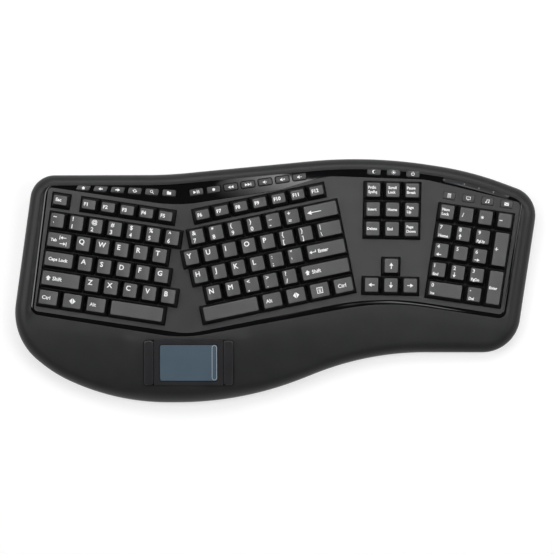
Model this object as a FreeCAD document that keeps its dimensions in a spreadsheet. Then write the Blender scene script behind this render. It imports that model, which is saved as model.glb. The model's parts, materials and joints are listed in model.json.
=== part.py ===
import FreeCAD, Part
import math
import os
from types import SimpleNamespace
from FreeCAD import Placement, Rotation, Vector

os.makedirs("parts", exist_ok=True)
doc = FreeCAD.newDocument("ergonomic_keyboard")

# sizes in millimetres and degrees; plan positions below are for a pitch of 19.05 and follow the pitch
sizes = [
    ("key_pitch", 19.05), ("key_gap", 0.9), ("key_travel", 3.0), ("cap_height", 7.8), ("skirt_drop", 1.2),
    ("cap_side_inset", 2.5), ("cap_front_inset", 3.1), ("cap_rear_inset", 1.1), ("cap_wall", 1.3),
    ("cap_roof", 2.0), ("dish_depth", 0.6), ("stem_width", 5.0), ("stem_depth", 4.0), ("stem_slack", 0.25),
    ("function_depth", 15.0), ("function_offset", 20.2), ("well_slack", 0.15),
    ("left_yaw", -8.75), ("right_yaw", 12.0), ("navigation_yaw", -1.0), ("pad_yaw", -8.4),
    ("ridge_height", 39.0), ("tent_angle", 4.5), ("navigation_angle", 3.0), ("pad_angle", 1.5),
    ("rear_lift", 3.0), ("arch_radius", 400.0),
    ("palm_fall", 7.5), ("front_fall", 13.0), ("deck_drop", 0.5), ("deck_plate", 2.5),
    ("trim_drop", 0.7), ("trim_slack", 0.15), ("flange_reach", 1.0),
    ("carrier_thickness", 1.4), ("carrier_rim", 1.2), ("dome_sheet_thickness", 0.5),
    ("membrane_thickness", 0.4), ("plate_thickness", 1.0),
    ("feet_height", 1.5), ("floor_thickness", 2.3), ("parting_height", 6.0), ("case_wall", 5.5),
    ("lid_thickness", 3.0), ("tray_inset", 1.2), ("tray_chamfer", 2.5), ("edge_round", 6.0),
    ("button_long", 13.2), ("button_short", 6.0), ("button_rise", 1.3), ("button_travel", 1.0),
    ("button_slack", 0.3), ("app_button_long", 11.3), ("app_button_short", 6.9),
    ("touchpad_length", 88.0), ("touchpad_depth", 45.0), ("touchpad_rise", 0.6), ("touch_long", 56.3),
    ("touch_short", 36.5), ("touch_button_width", 9.8), ("touch_button_travel", 0.4),
    ("battery_diameter", 14.5), ("battery_length", 50.5), ("door_thickness", 1.3), ("door_slide", 9.0),
    ("tilt_width", 34.0), ("tilt_length", 24.0), ("tilt_thickness", 3.2), ("pin_radius", 1.0),
    ("rubber_length", 22.0), ("rubber_width", 9.0),
    ("screw_shaft", 2.6), ("screw_head", 5.6), ("window_width", 5.0),
]
sheet = doc.addObject("Spreadsheet::Sheet", "Sizes")
for row, (name, value) in enumerate(sizes, 1):
    sheet.set("A%d" % row, name)
    sheet.set("B%d" % row, str(value))
    sheet.setAlias("B%d" % row, name)
doc.recompute()
v = SimpleNamespace(**{name: float(sheet.get(name)) for name, _ in sizes})
scale = v.key_pitch / 19.05

# outlines as corners with radii: x to the right, y to the rear
case_corners = [
    (-238.5, 104.1, 24.3), (-106.2, 103.9, 394), (91.6, 123.6, 472), (192.2, 108.5, 325), (259.3, 83.7, 28.5),
    (236.1, -70.0, 37.4), (91.8, -69.9, 295), (-33.0, -119.3, 335), (-155.9, -119.3, 231), (-217, -91.8, 129),
    (-261, -56.6, 61),
]
trim_corners = [
    (-225.4, 97, 15), (-95, 97.3, 400), (80, 114.8, 500), (165, 105.5, 200), (243.6, 82, 12),
    (225.6, -37.3, 7), (108, -19.6, 235), (-90.7, -56.5, 135), (-241.4, -32.2, 8),
]
deck_corners = [
    (-223, 92, 4), (-96.8, 73, 150), (4.5, 88.9, 60), (50, 102.8, 60), (148, 99.6, 80), (240.9, 77.1, 5),
    (223.2, -32.9, 4), (101.6, -14.5, 270), (-86.5, -52.1, 60), (-238, -29.2, 4),
]
ridge_x, navigation_x, pad_x = -89 * scale, 79 * scale, 145 * scale
palm_y, front_y = -60 * scale, -104 * scale


def bind(thing, **formulas):
    for name, formula in formulas.items():
        thing.setExpression(name, formula)


def made(kind, label, **properties):
    thing = doc.addObject(kind, label)
    for name, value in properties.items():
        setattr(thing, name, value)
    return thing


def bends(corners, closed=True):
    """Start, middle and end of the arc at each corner; open ends stay points."""
    count = len(corners)
    arcs = []
    for i, (x, y, radius) in enumerate(corners):
        here = Vector(x, y, 0)
        if not radius or not closed and i in (0, count - 1):
            arcs.append((here, here, here))
            continue
        back = (Vector(*corners[i - 1][:2], 0) - here).normalize()
        ahead = (Vector(*corners[(i + 1) % count][:2], 0) - here).normalize()
        half = back.getAngle(ahead) / 2
        reach = radius / math.tan(half)
        middle = here + (back + ahead).normalize() * (radius / math.sin(half) - radius)
        arcs.append((here + back * reach, middle, here + ahead * reach))
    return arcs


def rounded(corners, closed=True):
    """Arcs and lines round a list of corners."""
    arcs = bends(corners, closed)
    curves = []
    for i, (start, middle, end) in enumerate(arcs):
        if (end - start).Length > 1e-6:
            curves.append(Part.ArcOfCircle(start, middle, end))
        if closed or i < len(arcs) - 1:
            curves.append(Part.LineSegment(end, arcs[(i + 1) % len(arcs)][0]))
    return curves


def scaled(corners):
    return [((x - shift_x) * scale, (y - shift_y) * scale, radius * scale) for x, y, radius in corners]


shift_x = shift_y = 0
limits = Part.Wire([curve.toShape() for curve in rounded(scaled(case_corners))]).BoundBox
shift_x, shift_y = limits.Center.x / scale, limits.Center.y / scale
ridge_x, navigation_x, pad_x = [x - shift_x * scale for x in (ridge_x, navigation_x, pad_x)]
palm_y, front_y = palm_y - shift_y * scale, front_y - shift_y * scale


def spot(x, y):
    return (x - shift_x) * scale, (y - shift_y) * scale


def tangent(degrees):
    return math.tan(math.radians(degrees))


slopes = [tangent(v.tent_angle), -tangent(v.tent_angle), -tangent(v.navigation_angle), -tangent(v.pad_angle)]
breaks = [ridge_x, navigation_x, pad_x]
lift = tangent(v.rear_lift)


def plane_height(x, zone):
    """Height of a zone's plane at the middle depth, before the rear lift is added."""
    height = v.ridge_height
    for i in range(1, zone):
        height += slopes[i] * (breaks[i] - breaks[i - 1])
    return height + slopes[zone] * (x - breaks[max(zone - 1, 0)])


def turn(d, change, radius):
    """What a rounded change of slope adds to the first slope's line, at a distance past the corner."""
    half = radius * abs(math.tan(math.atan(change) / 2))
    if d < -half:
        return 0
    return change * d if d > half else change * (d + half) ** 2 / (4 * half)


def arch(x, radius):
    height = plane_height(x, 0)
    for i, corner in enumerate(breaks):
        height += turn(x - corner, slopes[i + 1] - slopes[i], radius)
    return height


def surface(x, y):
    """The case's upper surface: arched across, lifted to the rear, falling over the palm rest."""
    height = arch(x, v.arch_radius) + lift * y
    height += turn(palm_y - y, -tangent(v.palm_fall), 250 * scale)
    return height + turn(front_y - y, -tangent(v.front_fall), 170 * scale)


def slab(drop):
    """Everything below the upper surface lowered by drop."""
    xs = [(-290 + 23.2 * i) * scale for i in range(26)]
    ys = [(-138 + 23 * i) * scale for i in range(13)]
    skin = Part.BSplineSurface()
    skin.interpolate([[Vector(x, y, surface(x, y) - drop) for y in ys] for x in xs])
    return skin.toShape().extrude(Vector(0, 0, -120))


def sketch(label, curves, placement=Placement()):
    thing = doc.addObject("Sketcher::SketchObject", label)
    thing.addGeometry(curves, False)
    thing.Placement = placement
    return thing


def inset(corners, distance, label, low, high):
    """An upright prism inside rounded corners by a distance, or outside where it is negative."""
    wire = Part.Wire([curve.toShape() for curve in rounded(corners)])
    if abs(distance) > 1e-6:
        wire = wire.makeOffset2D(-distance)
    prism = Part.Face(wire).extrude(Vector(0, 0, high - low))
    prism.translate(Vector(0, 0, low))
    return made("Part::Feature", label, Shape=prism)


def band(label, top, bottom, top_radius=0, bottom_radius=0, rise=None, pivot=0):
    """An arched sheet between two depths under the deck's upper face, as long as the case is deep.

    It follows the rear lift, or another rise that meets the lift's own surface at a pivot.
    """
    rise = lift if rise is None else rise
    line = [(-300 * scale, plane_height(-300 * scale, 0))]
    line += [(x, plane_height(x, i)) for i, x in enumerate(breaks)]
    line.append((300 * scale, plane_height(300 * scale, 3)))
    curves = []
    for depth, radius in ((top, top_radius), (bottom, bottom_radius)):
        face = [(x, z - v.deck_drop - depth) for x, z in line]
        curves += rounded([(x, z, radius if i == 1 else 0) for i, (x, z) in enumerate(face)], False)
    for x, z in (line[0], line[-1]):
        level = z - v.deck_drop
        curves.append(Part.LineSegment(Vector(x, level - top, 0), Vector(x, level - bottom, 0)))
    start = Vector(0, -140 * scale, lift * pivot - rise * (pivot + 140 * scale))
    outline = sketch(label + "_section", curves, Placement(start, Rotation(Vector(1, 0, 0), 90)))
    return made("Part::Extrusion", label, Base=outline, DirMode="Custom", Dir=Vector(0, 1, rise),
                LengthFwd=280 * scale * math.hypot(1, rise), Solid=True)


def common(label, *parts):
    return made("Part::MultiCommon", label, Shapes=list(parts))


def joined(label, *parts):
    return made("Part::MultiFuse", label, Shapes=list(parts)) if len(parts) > 1 else parts[0]


def cut(label, base, tool):
    return made("Part::Cut", label, Base=base, Tool=tool)


def group(label, parts):
    return made("Part::Compound", label, Links=list(parts))


def link(label, target, placement):
    return made("App::Link", label, LinkedObject=target, Placement=placement)


class Frame:
    """A tilted plane on the deck: u along its rows, w out of it."""

    def __init__(self, x, y, slope_x, slope_y, yaw, height):
        out = Vector(-slope_x, -slope_y, 1).normalize()
        along = Vector(math.cos(math.radians(yaw)), math.sin(math.radians(yaw)), 0)
        along.z = slope_x * along.x + slope_y * along.y
        along.normalize()
        self.turn = Rotation(along, out.cross(along), out, "ZXY")
        self.origin = Vector(x, y, height)

    def at(self, along=0, up=0, out=0, extra=Rotation()):
        return Placement(self.origin + self.turn.multVec(Vector(along, up, out)), self.turn * extra)


def zone_frame(x, y, zone, yaw):
    x, y = spot(x, y)
    return Frame(x, y, slopes[zone], lift, yaw, plane_height(x, zone) + lift * y - v.deck_drop)


def trim_frame(x, y, yaw):
    """A frame for a small button, on the plane of the zone that it stands in."""
    middle = spot(x, y)[0]
    return zone_frame(x, y, sum(middle > corner for corner in breaks), yaw)


def brick(label, frame, along, up, low, high, length, depth):
    """A box centred on a spot of a frame, between two heights."""
    place = frame.at(along - length / 2, up - depth / 2, low)
    return made("Part::Box", label, Length=length, Width=depth, Height=high - low, Placement=place)


pitch = v.key_pitch
flange_depth = v.skirt_drop + v.key_travel + 0.2
carrier_depth = flange_depth + v.carrier_thickness
stem_end = carrier_depth + 0.2
dome_height = v.key_travel + 0.4
sheet_depth = stem_end + dome_height
membrane_depth = sheet_depth + v.dome_sheet_thickness
plate_depth = membrane_depth + v.membrane_thickness
stack_depth = plate_depth + v.plate_thickness

frames = {
    "left": zone_frame(-213.5, 58.4, 0, v.left_yaw),
    "right": zone_frame(-77.2, 42.3, 1, v.right_yaw),
    "navigation": zone_frame(114.5, 88.3, 2, v.navigation_yaw),
    "pad": zone_frame(168.0, 66.9, 3, v.pad_yaw),
}

# rows of keys: zone, row in pitches, left edge in pitches, then nodes with the widths of their keys
rows = [
    ("left", 0, -0.5, [("keys_number_left", [1] * 7)]),
    ("left", -1, -0.5, [("key_tab", [1.5]), ("keys_top_row_left", [1] * 5)]),
    ("left", -2, -0.5, [("key_caps_lock", [1.75]), ("keys_home_row_left", [1] * 5)]),
    ("left", -3, -0.5, [("key_shift_left", [2.25]), ("keys_bottom_row_left", [1] * 5)]),
    ("left", -4, -0.5, [("keys_modifiers_left", [1.25] * 3), ("key_space_left", [3])]),
    ("right", 0, -0.5, [("keys_number_right", [1] * 6), ("key_backspace", [2])]),
    ("right", -1, -1, [("keys_top_row_right", [1] * 7 + [1.5])]),
    ("right", -2, -0.75, [("keys_home_row_right", [1] * 6), ("key_enter", [2.25])]),
    ("right", -3, -0.25, [("keys_bottom_row_right", [1] * 5), ("key_shift_right", [2.75])]),
    ("right", -4, -0.625, [("key_space_right", [3.125]), ("keys_modifiers_right", [1.25] * 4)]),
    ("navigation", 0, -1.5, [("keys_print_scroll_pause", [1] * 3)]),
    ("navigation", -1, -1.5, [("keys_insert_home_pageup", [1] * 3)]),
    ("navigation", -2, -1.5, [("keys_delete_end_pagedown", [1] * 3)]),
    ("navigation", -3.9, -0.5, [("key_arrow_up", [1])]),
    ("navigation", -4.9, -1.5, [("key_arrow_left", [1]), ("key_arrow_down", [1]), ("key_arrow_right", [1])]),
    ("pad", 0, -0.5, [("keys_pad_top", [1] * 4)]),
    ("pad", -1, -0.5, [("keys_pad_789", [1] * 3)]),
    ("pad", -2, -0.5, [("keys_pad_456", [1] * 3)]),
    ("pad", -3, -0.5, [("keys_pad_123", [1] * 3)]),
    ("pad", -4, -0.5, [("keys_pad_bottom", [2, 1])]),
]
# each key: node, zone, middle along its row, middle across the rows, master's name
keys = []
wells = []
for zone, row, edge, nodes in rows:
    start = edge
    for node, widths in nodes:
        for width in widths:
            master = "cap_%d" % round(width * 1000)
            keys.append((node, zone, (edge + width / 2) * pitch, row * pitch, master))
            edge += width
    wells.append((zone, (start + edge) / 2 * pitch, row * pitch, (edge - start) * pitch, pitch))
for node, row in (("key_pad_plus", -1.5), ("key_pad_enter", -3.5)):
    keys.append((node, "pad", 3 * pitch, row * pitch, "cap_tall"))
    wells.append(("pad", 3 * pitch, row * pitch, pitch, 2 * pitch))
for node, zone, first, count in (("key_escape", "left", 0, 1), ("keys_f1_f5", "left", 1.5, 5),
                                 ("keys_f6_f12", "right", 0.5, 7)):
    for i in range(count):
        keys.append((node, zone, (first + i) * pitch, v.function_offset * scale, "cap_function"))
    middle = (first + (count - 1) / 2) * pitch
    wells.append((zone, middle, v.function_offset * scale, count * pitch, v.function_depth + v.key_gap))


def cap(label, width, depth, dished):
    """A hollow tapered key cap with a dished top and a stem; formulas give its plan at the skirt."""
    half_w = "((%s) - Sizes.key_gap) / 2" % width
    half_d = "((%s) - Sizes.key_gap) / 2" % depth
    shells = []
    for name, wall, roof in (("outer", "0", "0"), ("inner", "Sizes.cap_wall", "Sizes.cap_roof")):
        shell = doc.addObject("Part::Wedge", label + "_" + name)
        bind(shell, Xmin="-(%s - %s)" % (half_w, wall), Xmax="%s - %s" % (half_w, wall),
             Zmin="-(%s - %s)" % (half_d, wall), Zmax="%s - %s" % (half_d, wall),
             Ymin="-Sizes.skirt_drop", Ymax="Sizes.cap_height - %s" % roof,
             X2min="-(%s - %s - Sizes.cap_side_inset)" % (half_w, wall),
             X2max="%s - %s - Sizes.cap_side_inset" % (half_w, wall),
             Z2min="-(%s - %s - Sizes.cap_rear_inset)" % (half_d, wall),
             Z2max="%s - %s - Sizes.cap_front_inset" % (half_d, wall))
        shell.Placement = Placement(Vector(), Rotation(Vector(1, 0, 0), 90))
        shells.append(shell)
    body = cut(label + "_hollow", *shells)
    stem = doc.addObject("Part::Box", label + "_stem")
    bind(stem, Length="Sizes.stem_width", Width="Sizes.stem_depth",
         Height="%s + 0.5" % (stem_end + v.cap_height - v.cap_roof))
    stem.Placement = Placement(Vector(-v.stem_width / 2, -v.stem_depth / 2, -stem_end), Rotation())
    body = joined(label if not dished else label + "_stemmed", body, stem)
    if dished:
        half = "((%s) - Sizes.key_gap - 2 * Sizes.cap_side_inset) / 2" % width
        dish = doc.addObject("Part::Wedge", label + "_dish")
        bind(dish, Xmin="-0.4 * " + half, Xmax="0.4 * " + half, X2min="-1.6 * " + half, X2max="1.6 * " + half,
             Ymin="Sizes.cap_height - Sizes.dish_depth", Ymax="Sizes.cap_height + Sizes.dish_depth")
        for name, value in (("Zmin", -2), ("Zmax", 2), ("Z2min", -2), ("Z2max", 2)):
            setattr(dish, name, value * pitch)
        dish.Placement = Placement(Vector(), Rotation(Vector(1, 0, 0), 90))
        body = cut(label, body, dish)
    return body


masters = {}
for width in sorted({key[4] for key in keys if key[4][4:].isdigit()}):
    share = int(width[4:]) / 1000
    masters[width] = cap(width, "Sizes.key_pitch * %s" % share, "Sizes.key_pitch", share < 3)
masters["cap_function"] = cap("cap_function", "Sizes.key_pitch", "Sizes.function_depth + Sizes.key_gap", True)
masters["cap_tall"] = cap("cap_tall", "Sizes.key_pitch", "Sizes.key_pitch * 2", True)

# small buttons: node, where each stands, its turn, and whether it is one of the four above the pad
buttons = []
for i in range(6):
    buttons.append(("keys_browser", trim_frame(-188.5 + i * 16.82, 91.1 - i * 1.06, -4), 0, 0, False))
for i in range(7):
    buttons.append(("keys_media", trim_frame(-77.6 + i * 16.8, 86.7 + i * 2.52, 8.5), 0, 0, False))
for x, y in ((96.5, 107.3), (115.8, 106.6), (134.8, 105.1)):
    buttons.append(("keys_power", trim_frame(x, y, -3.3), 0, 0, False))
for i in range(4):
    buttons.append(("keys_apps", frames["pad"], i * pitch, 17.3 * scale, True))

button_masters = {}
for kind, long, short, rise in (("round", "button_long", "button_short", v.button_rise - v.trim_drop),
                                ("square", "app_button_long", "app_button_short", v.button_rise)):
    body = doc.addObject("PartDesign::Body", "button_" + kind)
    plane = [f for f in body.Origin.OriginFeatures if f.Role == "XY_Plane"][0]
    half_l, half_s = getattr(v, long) / 2, getattr(v, short) / 2
    corner = 1.8 if kind == "round" else 1.2
    for name, half_x, half_y, radius, low, high in (
            ("top", half_l, half_s, corner, flange_depth - v.button_travel - 0.3, rise),
            ("stem", 1.5, 1.5, 0, stem_end, -v.deck_plate)):
        plan = body.newObject("Sketcher::SketchObject", "button_%s_%s" % (kind, name))
        plan.AttachmentSupport = (plane, [""])
        plan.MapMode = "FlatFace"
        plan.AttachmentOffset = Placement(Vector(0, 0, -low), Rotation())
        ends = []
        for sx, sy in ((-1, -1), (1, -1), (1, 1), (-1, 1)):
            if radius:
                near = [Vector(sx * (half_x - radius), sy * half_y, 0),
                        Vector(sx * half_x, sy * (half_y - radius), 0)]
                ends += near[::-1] if sx == sy else near
            else:
                ends.append(Vector(sx * half_x, sy * half_y, 0))
        plan.addGeometry([Part.LineSegment(ends[i - 1], ends[i]) for i in range(len(ends))], False)
        doc.recompute()
        pad = body.newObject("PartDesign::Pad", "button_%s_%s_pad" % (kind, name))
        pad.Profile = plan
        pad.Length = low + high
    button_masters[kind] = body

nodes = {}
holes, domes = [], []
small_hole = made("Part::Box", "small_carrier_hole", Length=3.5, Width=3.5, Height=30.0)
dome = doc.addObject("Part::Wedge", "dome")
small_dome = doc.addObject("Part::Wedge", "small_dome")
for shape, low, high in ((dome, 3.6, 2.0), (small_dome, 2.2, 1.4)):
    for name, value in (("Xmin", -low), ("Xmax", low), ("Zmin", -low), ("Zmax", low),
                        ("X2min", -high), ("X2max", high), ("Z2min", -high), ("Z2max", high)):
        setattr(shape, name, value)
    bind(shape, Ymin="-0.2", Ymax="Sizes.key_travel + 0.4")
members, guides = {}, {}
for i, (node, zone, along, up, master) in enumerate(keys):
    frame = frames[zone]
    members.setdefault(node, []).append(link("key_%d" % i, masters[master], frame.at(along, up)))
    guides.setdefault((zone, up), []).append(along)
    domes.append(link("dome_%d" % i, dome, frame.at(along, up, -sheet_depth, Rotation(Vector(1, 0, 0), 90))))
for i, (node, frame, along, up, square) in enumerate(buttons):
    target = button_masters["square" if square else "round"]
    members.setdefault(node, []).append(link("button_%d" % i, target, frame.at(along, up)))
    holes.append(link("small_hole_%d" % i, small_hole, frame.at(along - 1.75, up - 1.75, -15)))
    domes.append(link("small_dome_%d" % i, small_dome,
                      frame.at(along, up, -sheet_depth, Rotation(Vector(1, 0, 0), 90))))
for i, ((zone, up), alongs) in enumerate(guides.items()):
    low, high = min(alongs), max(alongs)
    holes.append(brick("guide_%d" % i, frames[zone], (low + high) / 2, up, -15, 15,
                       high - low + v.stem_width + 2 * v.stem_slack, v.stem_depth + 2 * v.stem_slack))
for node, copies in members.items():
    nodes[node] = group(node, copies)

# wells in the deck and slots in the trim
pockets = []
for i, (zone, along, up, length, depth) in enumerate(wells):
    extra = 2 * v.well_slack
    pockets.append(brick("well_%d" % i, frames[zone], along, up, -8, 6, length + extra, depth + extra))
slots = []
for i, (node, frame, along, up, square) in enumerate(buttons):
    long, short = (v.app_button_long, v.app_button_short) if square else (v.button_long, v.button_short)
    slots.append(brick("slot_%d" % i, frame, along, up, -8, 6, long + 2 * v.button_slack,
                       short + 2 * v.button_slack))

case_line, trim_line, deck_line = scaled(case_corners), scaled(trim_corners), scaled(deck_corners)

# light window: a curved strip in the trim with three lights under it
window_arc = [Vector(*spot(x, y), 0) for x, y in ((167, 99.6), (200, 91.4), (227, 83.6))]
centre_arc = Part.ArcOfCircle(*window_arc)
middle_point = centre_arc.Center


def strip(width, low, high, label):
    """An upright prism over a bent strip with round ends."""
    half = width / 2
    ends = [window_arc[0], window_arc[2]]
    outs = [(point - middle_point).normalize() for point in window_arc]
    outer = [p + d * half for p, d in zip(window_arc, outs)]
    inner = [p - d * half for p, d in zip(window_arc, outs)]
    beyond = [(end - other).normalize() * half + end for end, other in (ends, ends[::-1])]
    curves = [Part.ArcOfCircle(*outer), Part.ArcOfCircle(outer[2], beyond[1], inner[2]),
              Part.ArcOfCircle(inner[2], inner[1], inner[0]), Part.ArcOfCircle(inner[0], beyond[0], outer[0])]
    plan = sketch(label + "_plan", curves, Placement(Vector(0, 0, low), Rotation()))
    return made("Part::Extrusion", label, Base=plan, Dir=Vector(0, 0, 1), LengthFwd=high - low, Solid=True)


window_hole = strip(v.window_width + 0.2, 0, 70, "window_hole")
window_band = band("window_band", v.trim_drop - 0.3, v.deck_plate, v.arch_radius, v.arch_radius)
nodes["led_window"] = common("led_window", window_band, strip(v.window_width, 0, 70, "window_strip"))

# the deck: a plate with stepped wells on a wider flange that carries the trim
screw_spots = [spot(*p) for p in ((-218, -58), (-150, -88), (-15, -80), (60, -58), (140, -48), (212, -52))]
deck_screw_spots = [spot(*p) for p in ((-90, 66), (77, 55), (150.5, 62))]


def rods(label, spots, diameter, low, high):
    """Upright eight-sided rods as wide as diameter; high may be worked out from each spot."""
    bars = []
    for i, (x, y) in enumerate(spots):
        top = high(x, y) if callable(high) else high
        bars.append(made("Part::Prism", "%s_%d" % (label, i), Polygon=8, Height=top - low,
                         Circumradius=diameter / 2 / math.cos(math.pi / 8),
                         Placement=Placement(Vector(x, y, low), Rotation())))
    return group(label, bars)


def deck_screw_end(x, y):
    return surface(x, y) - v.deck_drop - v.deck_plate - 1.0


deck_plate_band = band("deck_plate_band", 0, v.deck_plate + 0.1, v.arch_radius, v.arch_radius)
deck_plate = common("deck_upper", deck_plate_band, inset(deck_line, 0, "deck_column", 0, 70))
deck_flange = common("deck_lower", band("deck_flange_band", v.deck_plate, flange_depth, v.arch_radius),
                     inset(trim_line, -v.flange_reach, "flange_column", 0, 70))
deck_bosses = common("deck_bosses", band("deck_boss_band", flange_depth - 0.5, sheet_depth - 0.05),
                     rods("boss_rods", deck_screw_spots, 7, 0, 70))
deck_solid = joined("deck_solid", deck_plate, deck_flange, deck_bosses)
deck_screw_holes = rods("deck_screw_holes", deck_screw_spots, v.screw_shaft + 0.2, 0, deck_screw_end)
openings = group("deck_openings", [joined("deck_wells", *pockets), group("deck_slots", slots), deck_screw_holes])
nodes["key_deck"] = cut("key_deck", deck_solid, openings)

trim_ring = cut("trim_ring", inset(trim_line, v.trim_slack, "trim_column", 0, 70),
                inset(deck_line, -v.trim_slack, "trim_hole", 0, 70))
trim_band = band("trim_band", v.trim_drop, v.deck_plate, v.arch_radius, v.arch_radius)
trim_sheet = common("trim_sheet", trim_band, trim_ring)
trim_slots = group("trim_openings", [link("trim_slot_%d" % i, slot, slot.Placement) for i, slot in
                                     enumerate(slots[:16])] + [window_hole])
nodes["gloss_trim"] = cut("gloss_trim", trim_sheet, trim_slots)

# the stack under the deck, its outline made of chords of the trim's
chords = []
for (start, middle, end), (_, _, radius) in zip(bends(trim_line), trim_line):
    chords += [(p.x, p.y, 0) for p in ((start, middle, end) if radius > 100 * scale else (start, end))]
stack_column = inset(chords, -0.3, "stack_column", 0, 70)
rim = cut("carrier_rim_ring", inset(chords, -0.3, "rim_outer", 0, 70),
          inset(chords, v.carrier_rim - 0.3, "rim_inner", 0, 70))
carrier_plate = common("carrier_plate", band("carrier_band", flange_depth, carrier_depth), stack_column)
carrier_rim = common("carrier_skirt", band("carrier_rim_band", carrier_depth - 0.4, sheet_depth), rim)
boss_holes = rods("boss_holes", deck_screw_spots, 7.6, 0, 70)
nodes["key_carrier"] = cut("key_carrier", joined("carrier_solid", carrier_plate, carrier_rim),
                           group("carrier_openings", holes + [boss_holes]))
screw_holes = rods("sheet_holes", deck_screw_spots, v.screw_shaft + 1, 0, 70)
dome_sheet = common("dome_plate", band("dome_band", sheet_depth, membrane_depth), stack_column)
dome_plate_open = cut("dome_plate_open", dome_sheet, screw_holes)
nodes["dome_sheet"] = joined("dome_sheet", dome_plate_open, group("domes", domes))
for node, top, bottom in (("circuit_membrane", membrane_depth, plate_depth),
                          ("back_plate", plate_depth, stack_depth)):
    nodes[node] = cut(node, common(node + "_solid", band(node + "_band", top, bottom),
                                   stack_column), screw_holes)

# the case: a rounded shell with openings for the deck and the touchpad, on a shallow tray
outline = Part.Wire([curve.toShape() for curve in rounded(case_line)])
block = Part.Face(outline).extrude(Vector(0, 0, 80))
block.translate(Vector(0, 0, v.feet_height))
crown = block.common(slab(0))


def rim_edges(shape, steep):
    """Edges between the gently sloped upper faces and the steeper faces round them."""
    found = []
    for edge in shape.Edges:
        ups = []
        for face in shape.ancestorsOfType(edge, Part.Face):
            first, last, low, high = face.ParameterRange
            ups.append(face.normalAt((first + last) / 2, (low + high) / 2).z)
        if len(ups) == 2 and max(ups) > 0.85 and min(ups) < steep:
            found.append(edge)
    return found


for reach, steep in ((v.edge_round, 0.1), (v.edge_round * 0.32, 0.8)):
    crown = crown.makeChamfer(reach, rim_edges(crown, steep))
crown = crown.common(Part.makeBox(700 * scale, 400 * scale, 80, Vector(-350 * scale, -200 * scale,
                                                                       v.parting_height)))
shell = made("Part::Feature", "case_crown", Shape=crown)
ceiling = v.lid_thickness - v.deck_drop
palm_rise = lift + tangent(v.palm_fall)
front_rise = palm_rise + tangent(v.front_fall)
front_pivot = (front_y * (front_rise - palm_rise) + palm_y * (palm_rise - lift)) / (front_rise - lift)
hollow = common("case_hollow", inset(case_line, v.case_wall, "hollow_column", 0, 80),
                band("hollow_rear", ceiling, 90),
                band("hollow_palm", ceiling, 180, rise=palm_rise, pivot=palm_y),
                band("hollow_front", ceiling, 260, rise=front_rise, pivot=front_pivot))
touch_x, touch_y = spot(-85.5, -80.35)
touch_slope = (surface(touch_x, touch_y + 1) - surface(touch_x, touch_y - 1)) / 2
touch = Frame(touch_x, touch_y, 0, touch_slope, 0, surface(touch_x, touch_y))
touch_hole = brick("touchpad_hole", touch, 0, 0, -12, 8, v.touchpad_length + 0.4, v.touchpad_depth + 0.4)
case_bosses = rods("case_boss_rods", screw_spots, 7, v.feet_height + v.floor_thickness,
                   lambda x, y: surface(x, y) - 1.6)
lid = joined("lid", cut("lid_shell", shell, hollow), case_bosses)
lid_openings = group("lid_openings", [
    inset(trim_line, 0, "trim_opening", 0, 80), touch_hole,
    rods("lid_screw_holes", screw_spots, v.screw_shaft + 0.2, 0, v.feet_height + v.floor_thickness + 7)])
nodes["top_case"] = cut("top_case", lid, lid_openings)

base, floor_top = v.feet_height, v.feet_height + v.floor_thickness
tray_outer = Part.Face(outline.makeOffset2D(-v.tray_inset)).extrude(Vector(0, 0, v.parting_height - base))
tray_outer.translate(Vector(0, 0, base))
low_edges = [edge for edge in tray_outer.Edges if edge.BoundBox.ZMax < base + 0.01]
tray_outer = tray_outer.makeChamfer(v.tray_chamfer, low_edges)
tray_block = made("Part::Feature", "tray_block", Shape=tray_outer)
tray = cut("tray", tray_block, inset(case_line, v.tray_inset + 2.6, "tray_hollow", floor_top, 30))

support_places = ((-215, 20), (-150, 5), (-120, -30), (-60, -22), (0, -5), (62, 8), (112, 20), (112, 72),
                  (178, -12), (215, 20), (-60, 78), (20, 86))
support_spots = [spot(*p) for p in support_places]
under_stack = band("under_stack_band", stack_depth, 60)
posts = common("stack_posts", group("post_bars", [
    made("Part::Box", "post_%d" % i, Length=6, Width=6, Height=60,
         Placement=Placement(Vector(x - 3, y - 3, floor_top - 0.5), Rotation()))
    for i, (x, y) in enumerate(support_spots)]), under_stack)
screw_post_rods = rods("screw_post_rods", deck_screw_spots, 8, floor_top - 0.5, 60)
screw_posts = common("screw_posts", screw_post_rods, under_stack)

battery_x, battery_y = spot(-150, 58)
bay_length, bay_depth = v.battery_length + 1, 2 * v.battery_diameter + 2.5
bay_top = floor_top + v.battery_diameter + 0.5


def upright(label, x, y, length, depth, low, high):
    return made("Part::Box", label, Length=length, Width=depth, Height=high - low,
                Placement=Placement(Vector(x - length / 2, y - depth / 2, low), Rotation()))


bay_walls = upright("bay_walls", battery_x, battery_y, bay_length + 3, bay_depth + 3, floor_top - 0.5,
                    bay_top + 1.5)
bay_hollow = upright("bay_hollow", battery_x, battery_y, bay_length, bay_depth, 0, bay_top)
door_length, door_depth = bay_length + 5, bay_depth + 6
door_recess = upright("door_recess", battery_x, battery_y - v.door_slide / 2, door_length + 0.6,
                      door_depth + 0.6 + v.door_slide, 0, base + v.door_thickness + 0.1)

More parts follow.
